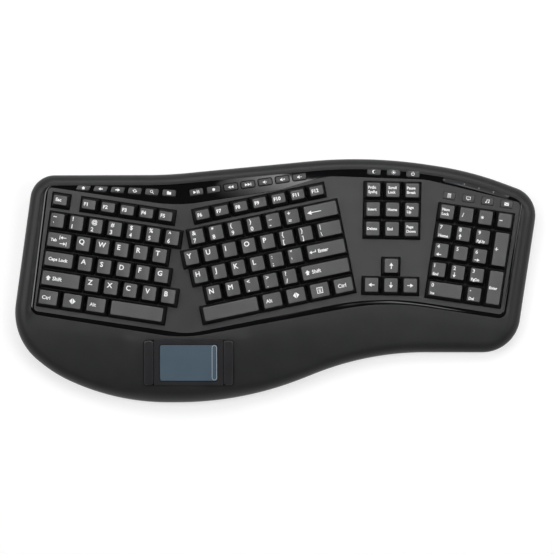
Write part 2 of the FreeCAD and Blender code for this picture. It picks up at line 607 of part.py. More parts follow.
tilt_spots = [spot(-205, 62), spot(205, 62)]
pin_height = base + 0.3 + v.tilt_thickness / 2
tilt_walls, tilt_hollows, tilt_pins = [], [], []
for i, (x, y) in enumerate(tilt_spots):
    middle = y + v.tilt_length / 2 - v.tilt_thickness / 2
    roof = base + v.tilt_thickness + 1.2
    tilt_walls.append(upright("tilt_wall_%d" % i, x, middle, v.tilt_width + 8, v.tilt_length + 5,
                              floor_top - 0.5, roof + 1.5))
    tilt_hollows.append(upright("tilt_hollow_%d" % i, x, middle, v.tilt_width + 1, v.tilt_length + 1.6,
                                0, roof))
    bore_place = Placement(Vector(x - v.tilt_width / 2 - 2.5, y, pin_height), Rotation(Vector(0, 1, 0), 90))
    tilt_pins.append(made("Part::Cylinder", "tilt_bore_%d" % i, Radius=v.pin_radius + 0.08,
                          Height=v.tilt_width + 5, Placement=bore_place))

rubber_spots = [spot(*p) for p in ((-232, -35), (-95, -106), (95, -60), (216, -30), (-165, 92), (150, 98))]
switch_x, switch_y = spot(60, 84)
switch_slot = upright("switch_slot", switch_x, switch_y, 9, 3.4, 0, 20)
switch_recess = upright("switch_recess", switch_x, switch_y, 15, 7, 0, base + 1.2)
board_x, board_y = spot(5, 42)
board_posts = [upright("board_post_%d" % i, board_x + sx * 31, board_y + sy * 14, 5, 5, floor_top - 0.5, 7)
               for i, (sx, sy) in enumerate(((-1, -1), (1, -1), (1, 1), (-1, 1)))]
vents = [upright("vent_%d" % i, board_x - 16 + 8 * i, board_y, 2, 16, 0, 20) for i in range(5)]
tray_full = joined("tray_full", tray, posts, screw_posts, bay_walls, *board_posts, *tilt_walls)
tray_openings = group("tray_openings", [
    joined("bay_opening", bay_hollow, door_recess),
    joined("tilt_openings", *(tilt_hollows + tilt_pins)),
    joined("switch_opening", switch_slot, switch_recess),
    group("rubber_recess", [upright("rubber_recess_%d" % i, x, y, v.rubber_length + 0.3, v.rubber_width + 0.3,
                                    0, base + 0.5) for i, (x, y) in enumerate(rubber_spots)]),
    rods("tray_screw_holes", screw_spots + deck_screw_spots, v.screw_shaft + 0.6, 0, 45),
    rods("tray_head_recess", screw_spots + deck_screw_spots, v.screw_head + 0.6, 0, base + 1.3)] + vents)
nodes["bottom_case"] = cut("bottom_case", tray_full, tray_openings)

# fasteners, feet, cells and board
screws = []
for i, (x, y) in enumerate(screw_spots + deck_screw_spots):
    long = 8.0 if i < len(screw_spots) else deck_screw_end(x, y) - base - 1.0
    shaft = made("Part::Prism", "screw_shaft_%d" % i, Polygon=8, Height=long)
    head = made("Part::Prism", "screw_head_%d" % i, Polygon=8, Height=1.2)
    bind(shaft, Circumradius="Sizes.screw_shaft / 2 / cos(22.5)")
    bind(head, Circumradius="Sizes.screw_head / 2 / cos(22.5)")
    shaft.Placement = Placement(Vector(x, y, base + 0.5), Rotation())
    head.Placement = Placement(Vector(x, y, base + 0.1), Rotation())
    drive = upright("screw_drive_%d" % i, x, y, 7.0, 0.7, 0, base + 0.7)
    screws.append(cut("screw_%d" % i, joined("screw_blank_%d" % i, shaft, head), drive))
nodes["case_screws"] = group("case_screws", screws)
pads = []
for i, (x, y) in enumerate(rubber_spots):
    pad = upright("rubber_%d" % i, x, y, v.rubber_length, v.rubber_width, 0, base + 0.5)
    bind(pad, Length="Sizes.rubber_length", Width="Sizes.rubber_width", Height="Sizes.feet_height + 0.5")
    pads.append(pad)
nodes["rubber_feet"] = group("rubber_feet", pads)
cells = []
for i, (side, way) in enumerate(((-1, 1), (1, -1))):
    lie = Rotation(Vector(0, 1, 0), 90 * way)
    y = battery_y + side * (v.battery_diameter / 2 + 0.4)
    z = base + v.door_thickness + 0.1 + v.battery_diameter / 2
    can = made("Part::Prism", "cell_%d" % i, Polygon=16,
               Placement=Placement(Vector(battery_x - way * v.battery_length / 2, y, z), lie))
    bind(can, Circumradius="Sizes.battery_diameter / 2", Height="Sizes.battery_length - 1.5")
    tip = made("Part::Prism", "cell_tip_%d" % i, Polygon=8, Circumradius=2.7, Height=2.5)
    tip.Placement = Placement(Vector(battery_x + way * (v.battery_length / 2 - 2.5), y, z), lie)
    cells.append(joined("battery_%d" % i, can, tip))
nodes["batteries"] = group("batteries", cells)

board = upright("board", board_x, board_y, 70, 36, 7, 8.6)
chips = [upright("chip_%d" % i, board_x + x, board_y + y, w, d, 8.4, 8.6 + h) for i, (x, y, w, d, h) in
         enumerate(((-12, 3, 12, 12, 1.6), (8, -5, 8, 6, 1.4), (24, 6, 14, 10, 2.4), (-26, -8, 6, 14, 3.2)))]
nodes["controller_board"] = joined("controller_board", board, *chips)
knob = [upright("switch_knob", switch_x - 2, switch_y, 4.6, 3.0, base + 0.2, floor_top),
        upright("switch_slider", switch_x - 2, switch_y, 12, 6, floor_top, floor_top + 1.6)]
nodes["power_switch"] = joined("power_switch", *knob)

door_plate = upright("door_plate", battery_x, battery_y, door_length, door_depth, base,
                     base + v.door_thickness)
grips = group("door_grips", [upright("door_grip_%d" % i, battery_x, battery_y - door_depth / 2 + 5 + 2.4 * i,
                                     22, 1.1, 0, base + 0.4) for i in range(4)])
nodes["battery_door"] = cut("battery_door", door_plate, grips)

for side, (x, y) in zip(("left", "right"), tilt_spots):
    body = doc.addObject("PartDesign::Body", "tilt_foot_" + side)
    planes = {f.Role: f for f in body.Origin.OriginFeatures}
    radius = v.tilt_thickness / 2
    profile = body.newObject("Sketcher::SketchObject", "tilt_profile_" + side)
    profile.AttachmentSupport = (planes["YZ_Plane"], [""])
    profile.MapMode = "FlatFace"
    reach = v.tilt_length - radius
    turns = [k * math.pi / 6 for k in range(7)]
    ends = [Vector(-radius * math.sin(angle), radius * math.cos(angle), 0) for angle in turns]
    ends += [Vector(reach - 3.5, -radius, 0), Vector(reach - 1.2, -radius + 0.8, 0), Vector(reach, radius, 0)]
    profile.addGeometry([Part.LineSegment(ends[i - 1], ends[i]) for i in range(len(ends))], False)
    doc.recompute()
    blade = body.newObject("PartDesign::Pad", "tilt_blade_" + side)
    blade.Profile = profile
    blade.Midplane = True
    bind(blade, Length="Sizes.tilt_width")
    notch = body.newObject("Sketcher::SketchObject", "tilt_notch_plan_" + side)
    notch.AttachmentSupport = (planes["XY_Plane"], [""])
    notch.MapMode = "FlatFace"
    ends = [Vector(-9, 7, 0), Vector(9, 7, 0), Vector(7, reach - 6, 0), Vector(-7, reach - 6, 0)]
    notch.addGeometry([Part.LineSegment(ends[i - 1], ends[i]) for i in range(4)], False)
    doc.recompute()
    opening = body.newObject("PartDesign::Pocket", "tilt_notch_" + side)
    opening.Profile = notch
    opening.Type = 1
    opening.Midplane = True
    pin = body.newObject("Sketcher::SketchObject", "tilt_pin_plan_" + side)
    pin.AttachmentSupport = (planes["YZ_Plane"], [""])
    pin.MapMode = "FlatFace"
    pin.addGeometry([Part.Circle(Vector(), Vector(0, 0, 1), v.pin_radius)], False)
    doc.recompute()
    axle = body.newObject("PartDesign::Pad", "tilt_axle_" + side)
    axle.Profile = pin
    axle.Midplane = True
    bind(axle, Length="Sizes.tilt_width + 4")
    body.Placement = Placement(Vector(x, y, pin_height), Rotation())
    nodes["tilt_foot_" + side] = body

# touchpad: bezel with a button at each end and a plate between them
long, deep, rise = v.touchpad_length, v.touchpad_depth, v.touchpad_rise
wide = v.touch_button_width


def plan_sketch(body, label, corners, height):
    plan = body.newObject("Sketcher::SketchObject", label)
    plan.AttachmentSupport = ([f for f in body.Origin.OriginFeatures if f.Role == "XY_Plane"][0], [""])
    plan.MapMode = "FlatFace"
    plan.AttachmentOffset = Placement(Vector(0, 0, height), Rotation())
    plan.addGeometry(rounded(corners), False)
    doc.recompute()
    return plan


def rectangle(half_x, half_y, radius, middle=0):
    return [(middle + sx * half_x, sy * half_y, radius) for sx, sy in ((-1, -1), (1, -1), (1, 1), (-1, 1))]


bezel = doc.addObject("PartDesign::Body", "touchpad_bezel")
for label, half_x, half_y, low, high in (("bezel_body", long / 2, deep / 2, -7.5, rise),
                                         ("bezel_flange", long / 2 + 2.5, deep / 2 + 2.5, -7.5, -6.2)):
    part = bezel.newObject("PartDesign::Pad", label)
    part.Profile = plan_sketch(bezel, label + "_plan", rectangle(half_x, half_y, 3.5 if high > 0 else 0), low)
    part.Length = high - low
for label, half_x, half_y, radius, middle, low in (
        ("bezel_window", v.touch_long / 2 + 0.15, v.touch_short / 2 + 0.15, 3.0, 0, -1.4),
        ("bezel_cavity", v.touch_long / 2 - 3, v.touch_short / 2 - 3, 0, 0, -5.5),
        ("bezel_left_end", wide / 2 + 0.3, deep / 2 + 4, 0, -long / 2 + wide / 2 - 0.1, -3.4),
        ("bezel_right_end", wide / 2 + 0.3, deep / 2 + 4, 0, long / 2 - wide / 2 + 0.1, -3.4)):
    part = bezel.newObject("PartDesign::Pocket", label)
    part.Profile = plan_sketch(bezel, label + "_plan", rectangle(half_x, half_y, radius, middle), rise)
    part.Length = rise - low
bezel.Placement = touch.at()
nodes["touchpad_bezel"] = bezel

plate = doc.addObject("PartDesign::Body", "touchpad")
part = plate.newObject("PartDesign::Pad", "touchpad_plate")
part.Profile = plan_sketch(plate, "touchpad_plan", rectangle(v.touch_long / 2, v.touch_short / 2, 2.9), -1.4)
part.Length = rise + 1.1
plate.Placement = touch.at()
nodes["touchpad"] = plate
for side, way in (("left", -1), ("right", 1)):
    button = doc.addObject("PartDesign::Body", "touchpad_button_" + side)
    middle = way * (long / 2 - wide / 2)
    part = button.newObject("PartDesign::Pad", "touch_button_" + side)
    part.Profile = plan_sketch(button, "touch_button_plan_" + side,
                               rectangle(wide / 2 - 0.1, deep / 2 - 0.1, 2.4, middle),
                               v.touch_button_travel - 3.3)
    part.Length = rise + 0.5 + 3.4 - v.touch_button_travel - 0.1
    button.Placement = touch.at()
    nodes["touchpad_button_" + side] = button

doc.recompute()
for thing in doc.Objects:
    if "Invalid" in thing.State or "Error" in thing.State:
        raise RuntimeError("%s did not compute" % thing.Label)
total = 0
for name, thing in nodes.items():
    shape = thing.Shape
    if shape.isNull() or not shape.isValid() or not shape.Solids:
        raise RuntimeError("%s has no sound shape" % name)
    thing.Label = name
    shape.exportStep("parts/%s.step" % name)
    total += 1
    print(name, len(shape.Solids), "solids", round(shape.Volume))
print(total, "nodes")
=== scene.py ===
import json
import math
import bmesh
import bpy
import numpy as np
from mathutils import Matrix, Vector

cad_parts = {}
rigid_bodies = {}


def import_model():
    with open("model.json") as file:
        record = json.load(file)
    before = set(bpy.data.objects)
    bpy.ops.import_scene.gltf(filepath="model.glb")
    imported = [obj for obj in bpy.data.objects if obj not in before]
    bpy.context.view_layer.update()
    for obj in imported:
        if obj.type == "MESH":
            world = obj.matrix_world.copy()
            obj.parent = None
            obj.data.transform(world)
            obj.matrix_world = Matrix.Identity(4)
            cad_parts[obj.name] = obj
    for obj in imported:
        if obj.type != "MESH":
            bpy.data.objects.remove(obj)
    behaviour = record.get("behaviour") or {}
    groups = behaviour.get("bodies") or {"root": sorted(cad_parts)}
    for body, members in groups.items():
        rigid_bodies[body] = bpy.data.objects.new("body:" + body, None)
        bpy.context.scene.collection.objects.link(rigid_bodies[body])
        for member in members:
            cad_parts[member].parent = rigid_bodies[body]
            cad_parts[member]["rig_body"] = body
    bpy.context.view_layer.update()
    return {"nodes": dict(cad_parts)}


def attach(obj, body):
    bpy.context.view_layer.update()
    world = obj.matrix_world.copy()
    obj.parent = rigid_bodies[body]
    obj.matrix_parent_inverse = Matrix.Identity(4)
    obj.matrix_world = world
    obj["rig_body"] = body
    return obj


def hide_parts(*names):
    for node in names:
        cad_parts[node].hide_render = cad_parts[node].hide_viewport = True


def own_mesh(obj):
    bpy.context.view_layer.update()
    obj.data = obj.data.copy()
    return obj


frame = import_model()
nodes = frame["nodes"]
print("frame loaded:", len(nodes), "nodes")

# plan of the keyboard in millimetres: the deck bends across at the ridge, navigation and pad, its slopes
# and the palm rest's falls are in degrees, and corners are x, y and radius
layout = {
    "pitch": 19.05, "ridge": -89.0, "navigation": 79.0, "pad": 145.0, "ridgeHeight": 39.0,
    "slopes": (4.5, -4.5, -3.0, -1.5), "rearLift": 3.0, "archRadius": 400.0,
    "palmStart": -60.0, "palmFall": 7.5, "palmRadius": 250.0,
    "frontStart": -104.0, "frontFall": 13.0, "frontRadius": 170.0,
    "deckDrop": 0.5, "trimDrop": 0.7, "caseSteps": (1.5, 1),
}
caseCorners = [
    (-238.5, 104.1, 24.3), (-106.2, 103.9, 394), (91.6, 123.6, 472), (192.2, 108.5, 325), (259.3, 83.7, 28.5),
    (236.1, -70.0, 37.4), (91.8, -69.9, 295), (-33.0, -119.3, 335), (-155.9, -119.3, 231), (-217, -91.8, 129),
    (-261, -56.6, 61),
]
trimCorners = [
    (-225.4, 97, 15), (-95, 97.3, 400), (80, 114.8, 500), (165, 105.5, 200), (243.6, 82, 12),
    (225.6, -37.3, 7), (108, -19.6, 235), (-90.7, -56.5, 135), (-241.4, -32.2, 8),
]
deckCorners = [
    (-223, 92, 4), (-96.8, 73, 150), (4.5, 88.9, 60), (50, 102.8, 60), (148, 99.6, 80), (240.9, 77.1, 5),
    (223.2, -32.9, 4), (101.6, -14.5, 270), (-86.5, -52.1, 60), (-238, -29.2, 4),
]


def tangent(degrees):
    return math.tan(math.radians(degrees))


def rayAt(angles):
    # directions of length one at angles in radians
    return np.column_stack((np.cos(angles), np.sin(angles)))


def outline(corners, step, turnStep):
    # points and outward normals round clockwise corners: each corner's arc touches both its sides
    count = len(corners)
    places, normals, ends = [], [], []
    for i, (x, y, radius) in enumerate(corners):
        here = np.array((x, y))
        back = np.array(corners[i - 1][:2]) - here
        ahead = np.array(corners[(i + 1) % count][:2]) - here
        back, ahead = back / np.linalg.norm(back), ahead / np.linalg.norm(ahead)
        half = math.acos(np.clip(back @ ahead, -1, 1)) / 2
        bend = (back + ahead) / np.linalg.norm(back + ahead)
        centre = here + bend * radius / math.sin(half)
        side = 1 if back[0] * ahead[1] - back[1] * ahead[0] > 0 else -1   # 1 where the outline bulges out
        first, last = here + back * radius / math.tan(half), here + ahead * radius / math.tan(half)
        sweep = math.pi - 2 * half
        pieces = max(2, math.ceil(sweep / math.radians(turnStep)), math.ceil(sweep * radius / step))
        start = math.atan2(*(first - centre)[::-1])
        angles = start - side * np.linspace(0, sweep, pieces + 1)
        ray = rayAt(angles)
        places.append(centre + ray * radius)
        normals.append(ray * side)
        ends.append((first, last))
    allPlaces, allNormals = [], []
    for i in range(count):
        allPlaces.append(places[i])
        allNormals.append(normals[i])
        start, stop = ends[i][1], ends[(i + 1) % count][0]
        length = np.linalg.norm(stop - start)
        pieces = math.ceil(length / step)
        if pieces > 1:
            share = np.arange(1, pieces)[:, None] / pieces
            allPlaces.append(start + (stop - start) * share)
            allNormals.append(np.repeat(normals[i][-1:], pieces - 1, 0))
    return np.concatenate(allPlaces), np.concatenate(allNormals)


plainCase = outline(caseCorners, *layout["caseSteps"])[0]
shift = (plainCase.min(0) + plainCase.max(0)) / 2   # the frame's origin is the middle of the case's plan


def moved(corners):
    # corners of the plan in the frame's place
    return [(x - shift[0], y - shift[1], radius) for x, y, radius in corners]


slopes = [tangent(s) for s in layout["slopes"]]
breaks = [layout[name] - shift[0] for name in ("ridge", "navigation", "pad")]
lift = tangent(layout["rearLift"])
palmStart, frontStart = layout["palmStart"] - shift[1], layout["frontStart"] - shift[1]


def planeHeight(x, zone):
    # one zone's plane: the ridge's height, plus slope times width of each zone crossed from the ridge,
    # plus the zone's slope times the distance from its first edge
    height = layout["ridgeHeight"]
    for i in range(1, zone):
        height += slopes[i] * (breaks[i] - breaks[i - 1])
    return height + slopes[zone] * (x - breaks[max(zone - 1, 0)])


def easedTurn(d, change, radius):
    # height added past a rounded change of slope: nothing before it, change times d after it,
    # a parabola between
    half = radius * abs(math.tan(math.atan(change) / 2))
    return np.where(d < -half, 0, np.where(d > half, change * d, change * (d + half) ** 2 / (4 * half)))


def deckHeight(x, y):
    # the arched plane of the key zones: a slope across each zone plus the lift to the rear
    height = planeHeight(x, 0) + lift * y
    for i, corner in enumerate(breaks):
        height = height + easedTurn(x - corner, slopes[i + 1] - slopes[i], layout["archRadius"])
    return height


def caseHeight(x, y):
    # the same plane, bent down twice over the palm rest
    height = deckHeight(x, y) + easedTurn(palmStart - y, -tangent(layout["palmFall"]), layout["palmRadius"])
    return height + easedTurn(frontStart - y, -tangent(layout["frontFall"]), layout["frontRadius"])


# meshes
def placed(name, data):
    # a new object in the scene
    piece = bpy.data.objects.new(name, data)
    bpy.context.scene.collection.objects.link(piece)
    return piece


def putMesh(name, points, faces, materials, body, stands=(), sharp=45, faceKinds=None, slot=None):
    # a piece from points in millimetres, with its finishes, its body and the nodes that it stands for
    mesh = bpy.data.meshes.new(name)
    mesh.from_pydata((np.asarray(points) * 0.001).tolist(), [], [list(map(int, f)) for f in faces])
    mesh.validate()
    piece = placed(name, mesh)
    for material in materials:
        mesh.materials.append(material)
    if faceKinds is not None:
        mesh.polygons.foreach_set("material_index", np.asarray(faceKinds, dtype=np.int32))
    shadeByAngle(mesh, sharp)
    settle(piece, body, stands)
    return piece


def settle(piece, body, stands=()):
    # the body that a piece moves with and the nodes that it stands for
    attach(piece, body)
    if stands:
        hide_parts(*stands)


def shadeByAngle(mesh, degrees):
    # smooth shading, with edges sharp past the angle
    mesh.polygons.foreach_set("use_smooth", np.ones(len(mesh.polygons), dtype=bool))
    mesh.set_sharp_from_angle(angle=math.radians(degrees))
    mesh.update()


def atHeight(flat, height):
    # x, y points with one height for all or one for each
    return np.column_stack((flat, np.broadcast_to(height, len(flat))))


def roundOff(degrees):
    # how far a rounded edge of radius one has come at an angle: one less its cosine, which rises, and
    # one less its sine, which falls
    angle = math.radians(degrees)
    return 1 - math.cos(angle), 1 - math.sin(angle)


def between(upper, lower):
    # quads between two closed lines of point numbers
    return np.stack((upper, lower, np.roll(lower, -1), np.roll(upper, -1)), -1)


def gridFaces(rows, columns, offset=0, closed=False, wrap=False):
    # quads between neighbouring rows of points: closed joins a row's ends, wrap joins the last row
    # to the first
    r = np.arange(rows if wrap else rows - 1)[:, None]
    c = np.arange(columns if closed else columns - 1)[None, :]
    r2, c2 = (r + 1) % rows, (c + 1) % columns
    quads = np.stack([r * columns + c, r * columns + c2, r2 * columns + c2, r2 * columns + c], -1)
    return quads.reshape(-1, 4) + offset


def applied(piece):
    # bakes a piece's modifiers into its mesh
    graph = bpy.context.evaluated_depsgraph_get()
    graph.update()
    done = bpy.data.meshes.new_from_object(piece.evaluated_get(graph))
    piece.modifiers.clear()
    piece.data = done


def carve(piece, cutter):
    # takes the cutter's solids out of the piece
    opening = piece.modifiers.new("opening", "BOOLEAN")
    opening.operation, opening.solver, opening.object = "DIFFERENCE", "EXACT", cutter
    applied(piece)
    bpy.data.objects.remove(cutter)


def keepFlat(piece):
    # weighted normals keep the flat faces flat beside their rounded edges
    even = piece.modifiers.new("even", "WEIGHTED_NORMAL")
    even.keep_sharp = True
    applied(piece)


copyShape = {"merge": 2e-6, "flatAngle": 0.6, "bevelAngle": 30, "segments": 2, "sharpAngle": 32}


def mergedWork(mesh, distance=copyShape["merge"]):
    # a mesh opened for editing, with points closer than the distance merged
    work = bmesh.new()
    work.from_mesh(mesh)
    bmesh.ops.remove_doubles(work, verts=work.verts, dist=distance)
    return work


def wholeMesh(name, work, material):
    # a new mesh from the work, its flat faces made whole, with one finish
    bmesh.ops.dissolve_limit(work, angle_limit=math.radians(copyShape["flatAngle"]), verts=work.verts,
                             edges=work.edges)
    mesh = bpy.data.meshes.new(name)
    work.to_mesh(mesh)
    work.free()
    mesh.materials.clear()
    mesh.materials.append(material)
    return mesh


def roundedCopy(node, material, bevel, lower=None):
    # a CAD node merged, its flat faces made whole and its edges rounded
    size = copyShape
    source = nodes[node]
    name = node + "_finish"
    piece = placed(name, wholeMesh(name, mergedWork(source.data), material))
    soft = piece.modifiers.new("edges", "BEVEL")
    soft.width, soft.segments, soft.limit_method = bevel * 0.001, size["segments"], "ANGLE"
    soft.angle_limit = math.radians(size["bevelAngle"])
    applied(piece)
    shadeByAngle(piece.data, size["sharpAngle"])
    keepFlat(piece)
    if lower:   # faces that lie below the surface get the second finish, a painted shade
        finish, surface = lower
        piece.data.materials.append(finish)
        middles = np.array([p.center for p in piece.data.polygons]) * 1000
        below = middles[:, 2] < surface(middles[:, 0], middles[:, 1])
        piece.data.polygons.foreach_set("material_index", below.astype(np.int32))
    settle(piece, source["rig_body"], [node])


# materials
def mathNode(tree, operation, *inputs):
    # a maths node whose inputs are numbers or other nodes' outputs
    step = tree.nodes.new("ShaderNodeMath")
    step.operation = operation
    for socket, given in zip(step.inputs, inputs):
        if isinstance(given, (int, float)):
            socket.default_value = given
        else:
            tree.links.new(given, socket)
    return step.outputs[0]


# fine and broad are the detail of the two noises, range is the span of their mix from the darkest to the
# lightest, and height is that of the bumps in metres
grainShape = {"fine": 2, "broad": 3, "broadScale": 45, "broadShare": 0.6, "fineShare": 0.4,
              "range": (0.3, 0.7), "height": 0.0001}


def grainGroup():
    # moulded grain: two noises mottle the colour, vary the roughness and raise fine bumps
    size = grainShape
    group = bpy.data.node_groups.new("mouldedGrain", "ShaderNodeTree")
    face = group.interface
    for socket, kind, value in (("Colour", "Color", (0.05, 0.05, 0.05, 1)), ("Mottle", "Float", 0.1),
                                ("Size", "Float", 0.4), ("Rough", "Float", 0.5), ("Spread", "Float", 0.1),
                                ("Depth", "Float", 0.2)):
        face.new_socket(socket, in_out="INPUT", socket_type="NodeSocket" + kind).default_value = value
    for socket, kind in (("Colour", "Color"), ("Rough", "Float"), ("Normal", "Vector")):
        face.new_socket(socket, in_out="OUTPUT", socket_type="NodeSocket" + kind)
    add, join = group.nodes.new, group.links.new
    given, out, place = add("NodeGroupInput"), add("NodeGroupOutput"), add("ShaderNodeTexCoord")
    fine, broad = add("ShaderNodeTexNoise"), add("ShaderNodeTexNoise")
    for noise, detail in ((fine, size["fine"]), (broad, size["broad"])):
        noise.inputs["Detail"].default_value = detail
        join(place.outputs["Object"], noise.inputs["Vector"])
    broad.inputs["Scale"].default_value = size["broadScale"]
    join(mathNode(group, "DIVIDE", 1000, given.outputs["Size"]), fine.inputs["Scale"])
    mix = mathNode(group, "MULTIPLY_ADD", fine.outputs["Fac"], size["fineShare"],
                   mathNode(group, "MULTIPLY", broad.outputs["Fac"], size["broadShare"]))
    shade = add("ShaderNodeMapRange")
    shade.inputs["From Min"].default_value, shade.inputs["From Max"].default_value = size["range"]
    for operation, end in (("SUBTRACT", "To Min"), ("ADD", "To Max")):
        join(mathNode(group, operation, 1, given.outputs["Mottle"]), shade.inputs[end])
    join(mix, shade.inputs["Value"])
    tint = add("ShaderNodeVectorMath")
    tint.operation = "SCALE"
    join(given.outputs["Colour"], tint.inputs[0])
    join(shade.outputs[0], tint.inputs["Scale"])
    join(tint.outputs[0], out.inputs["Colour"])
    rough = mathNode(group, "MULTIPLY_ADD", mix, given.outputs["Spread"], given.outputs["Rough"])
    join(rough, out.inputs["Rough"])
    bump = add("ShaderNodeBump")
    bump.inputs["Distance"].default_value = size["height"]
    join(given.outputs["Depth"], bump.inputs["Strength"])
    join(fine.outputs["Fac"], bump.inputs["Height"])
    join(bump.outputs["Normal"], out.inputs["Normal"])
    return group


grain = grainGroup()


def finishOf(name, colour, mottle=0.12, size=0.4, rough=0.5, spread=0.12, depth=0.25, **sockets):
    # a grained finish: size is the grain's in millimetres, spread how far the roughness varies
    material = bpy.data.materials.new(name)
    material.use_nodes = True
    tree = material.node_tree
    shader = tree.nodes["Principled BSDF"]
    texture = tree.nodes.new("ShaderNodeGroup")
    texture.node_tree = grain
    for socket, value in (("Mottle", mottle), ("Size", size), ("Rough", rough - spread / 2),
                          ("Spread", spread), ("Depth", depth)):
        texture.inputs[socket].default_value = value
    texture.inputs["Colour"].default_value = (*colour, 1)
    for given, socket in (("Colour", "Base Color"), ("Rough", "Roughness"), ("Normal", "Normal")):
        tree.links.new(texture.outputs[given], shader.inputs[socket])
    for socket, value in sockets.items():
        shader.inputs[socket.replace("_", " ")].default_value = value
    return material


satinBlack = finishOf("satinBlack", (0.022, 0.0223, 0.0223), rough=0.4, depth=0.18, Specular_IOR_Level=0.22)
trayBlack = finishOf("trayBlack", (0.022, 0.022, 0.024), size=0.7, rough=0.6, depth=0.5)
pianoBlack = finishOf("pianoBlack", (0.003, 0.003, 0.0035), mottle=0.2, size=20, rough=0.06, spread=0.03,
                      depth=0.0)
deckGrey = finishOf("deckGrey", (0.036, 0.036, 0.037), rough=0.4, depth=0.25)
capTop = finishOf("capTop", (0.078, 0.078, 0.079), size=0.5, rough=0.45, depth=0.5)
# the caps' sides and underside: a far darker copy of the caps' colour, painted shade
capSideShade = finishOf("capSideShade", (0.009, 0.009, 0.0095), rough=0.42, depth=0.1, Specular_IOR_Level=0.3)
buttonGrey = finishOf("buttonGrey", (0.056, 0.056, 0.059), rough=0.36, depth=0.1)
innerBlack = finishOf("innerBlack", (0.014, 0.014, 0.015), rough=0.6)
siliconeGrey = finishOf("siliconeGrey", (0.2, 0.2, 0.21), size=1.5, rough=0.55)
filmClear = finishOf("filmClear", (0.45, 0.48, 0.46), size=3, rough=0.3)
plateSteel = finishOf("plateSteel", (0.42, 0.43, 0.44), size=0.8, rough=0.34, Metallic=1.0)
boardGreen = finishOf("boardGreen", (0.02, 0.11, 0.045), size=1.2, rough=0.4)
bezelBlack = finishOf("bezelBlack", (0.022, 0.022, 0.024), rough=0.3, depth=0.1)
padSlate = finishOf("padSlate", (0.075, 0.108, 0.14), mottle=0.06, size=30, rough=0.22, spread=0.06,
                    depth=0.0)
windowDark = finishOf("windowDark", (0.04, 0.04, 0.042), size=20, rough=0.12, spread=0.04, depth=0.0)
cellMetal = finishOf("cellMetal", (0.5, 0.5, 0.5), size=2, rough=0.3, Metallic=1.0)
footRubber = finishOf("footRubber", (0.03, 0.03, 0.03), size=0.8, rough=0.8, depth=0.5)
legendWhite = finishOf("legendWhite", (0.86, 0.86, 0.86), mottle=0.04, size=1, rough=0.5)
lampGrey = finishOf("lampGrey", (0.16, 0.16, 0.17), mottle=0.2, size=2, rough=0.3)
lineGrey = finishOf("lineGrey", (0.45, 0.5, 0.54), mottle=0.05, size=2, rough=0.4)
# a near-black colour for painted shade in the deck's wells and round the touchpad's edge
paintedShadeBlack = finishOf("paintedShadeBlack", (0.007, 0.007, 0.0075), rough=0.6, depth=0.2, Specular_IOR_Level=0.25)
for node, material in (("key_carrier", innerBlack), ("circuit_membrane", filmClear),
                       ("back_plate", plateSteel), ("controller_board", boardGreen),
                       ("batteries", cellMetal)):
    nodes[node].data.materials.clear()
    nodes[node].data.materials.append(material)
print("materials made")

# frames on the surface: origin, along the row, up the rows, out of the face
def makeFrame(x, y, slopeX, slopeY, yaw, height):
    # out is square to the plane of the two slopes, along is the turned direction laid on that plane
    out = np.array((-slopeX, -slopeY, 1.0))
    out /= np.linalg.norm(out)
    turn = math.radians(yaw)
    along = np.array((math.cos(turn), math.sin(turn), 0))
    along[2] = slopeX * along[0] + slopeY * along[1]
    along /= np.linalg.norm(along)
    return np.array((x, y, height)), np.stack((along, np.cross(out, along), out))


def zoneFrame(x, y, zone, yaw):
    # a place on a zone's plane, sunk by the deck's drop
    x, y = x - shift[0], y - shift[1]
    return makeFrame(x, y, slopes[zone], lift, yaw, planeHeight(x, zone) + lift * y - layout["deckDrop"])


def trimFrame(x, y, yaw):
    # the same in the zone that lies over x
    middle = x - shift[0]
    return zoneFrame(x, y, sum(middle > corner for corner in breaks), yaw)


def inFrame(spot, points):
    # the origin plus each coordinate times its axis
    origin, axes = spot
    return origin + np.asarray(points) @ axes


# each zone's origin is the middle of a key in its top row: the place on the plan, the number of its slope
# and the turn of its rows in degrees
zones = {
    "left": zoneFrame(-213.5, 58.4, 0, -8.75), "right": zoneFrame(-77.2, 42.3, 1, 12.0),
    "navigation": zoneFrame(114.5, 88.3, 2, -1.0), "pad": zoneFrame(168.0, 66.9, 3, -8.4),
}
touchMiddle = (-85.5, -80.35)   # where the touchpad's middle is on the plan
touchX, touchY = touchMiddle - shift
touchSlope = (caseHeight(touchX, touchY + 1) - caseHeight(touchX, touchY - 1)) / 2
touch = makeFrame(touchX, touchY, 0, touchSlope, 0, caseHeight(touchX, touchY))


# prisms used as cutters and small marks
def prism(points, low, high):
    # an upright wall between two heights round a closed line of x, y points, with flat ends
    points = np.asarray(points)
    count = len(points)
    flat = np.concatenate([atHeight(points, z) for z in (low, high)])
    walls = gridFaces(2, count, closed=True)
    return flat, [list(range(count))[::-1]] + [list(f) for f in walls] + [list(range(count, 2 * count))]


def roundRect(halfX, halfY, radius, steps=4, centre=(0, 0)):
    # a rectangle whose corners are quarter circles, counter-clockwise
    line = []
    for k, (sx, sy) in enumerate(((1, -1), (1, 1), (-1, 1), (-1, -1))):
        angles = np.radians(-90 + 90 * k + np.linspace(0, 90, steps + 1))
        line.append(np.column_stack((sx * (halfX - radius) + radius * np.cos(angles),
                                     sy * (halfY - radius) + radius * np.sin(angles))))
    return np.concatenate(line) + centre


def joined(parts):
    # several point and face lists as one
    points, faces, total = [], [], 0
    for flat, polygons in parts:
        points.append(flat)
        faces += [[i + total for i in f] for f in polygons]
        total += len(flat)
    return np.concatenate(points), faces


def tool(parts):
    # solids as one object to cut with
    points, faces = joined(parts)
    mesh = bpy.data.meshes.new("cutter")
    mesh.from_pydata((points * 0.001).tolist(), [], faces)
    return placed("cutter", mesh)


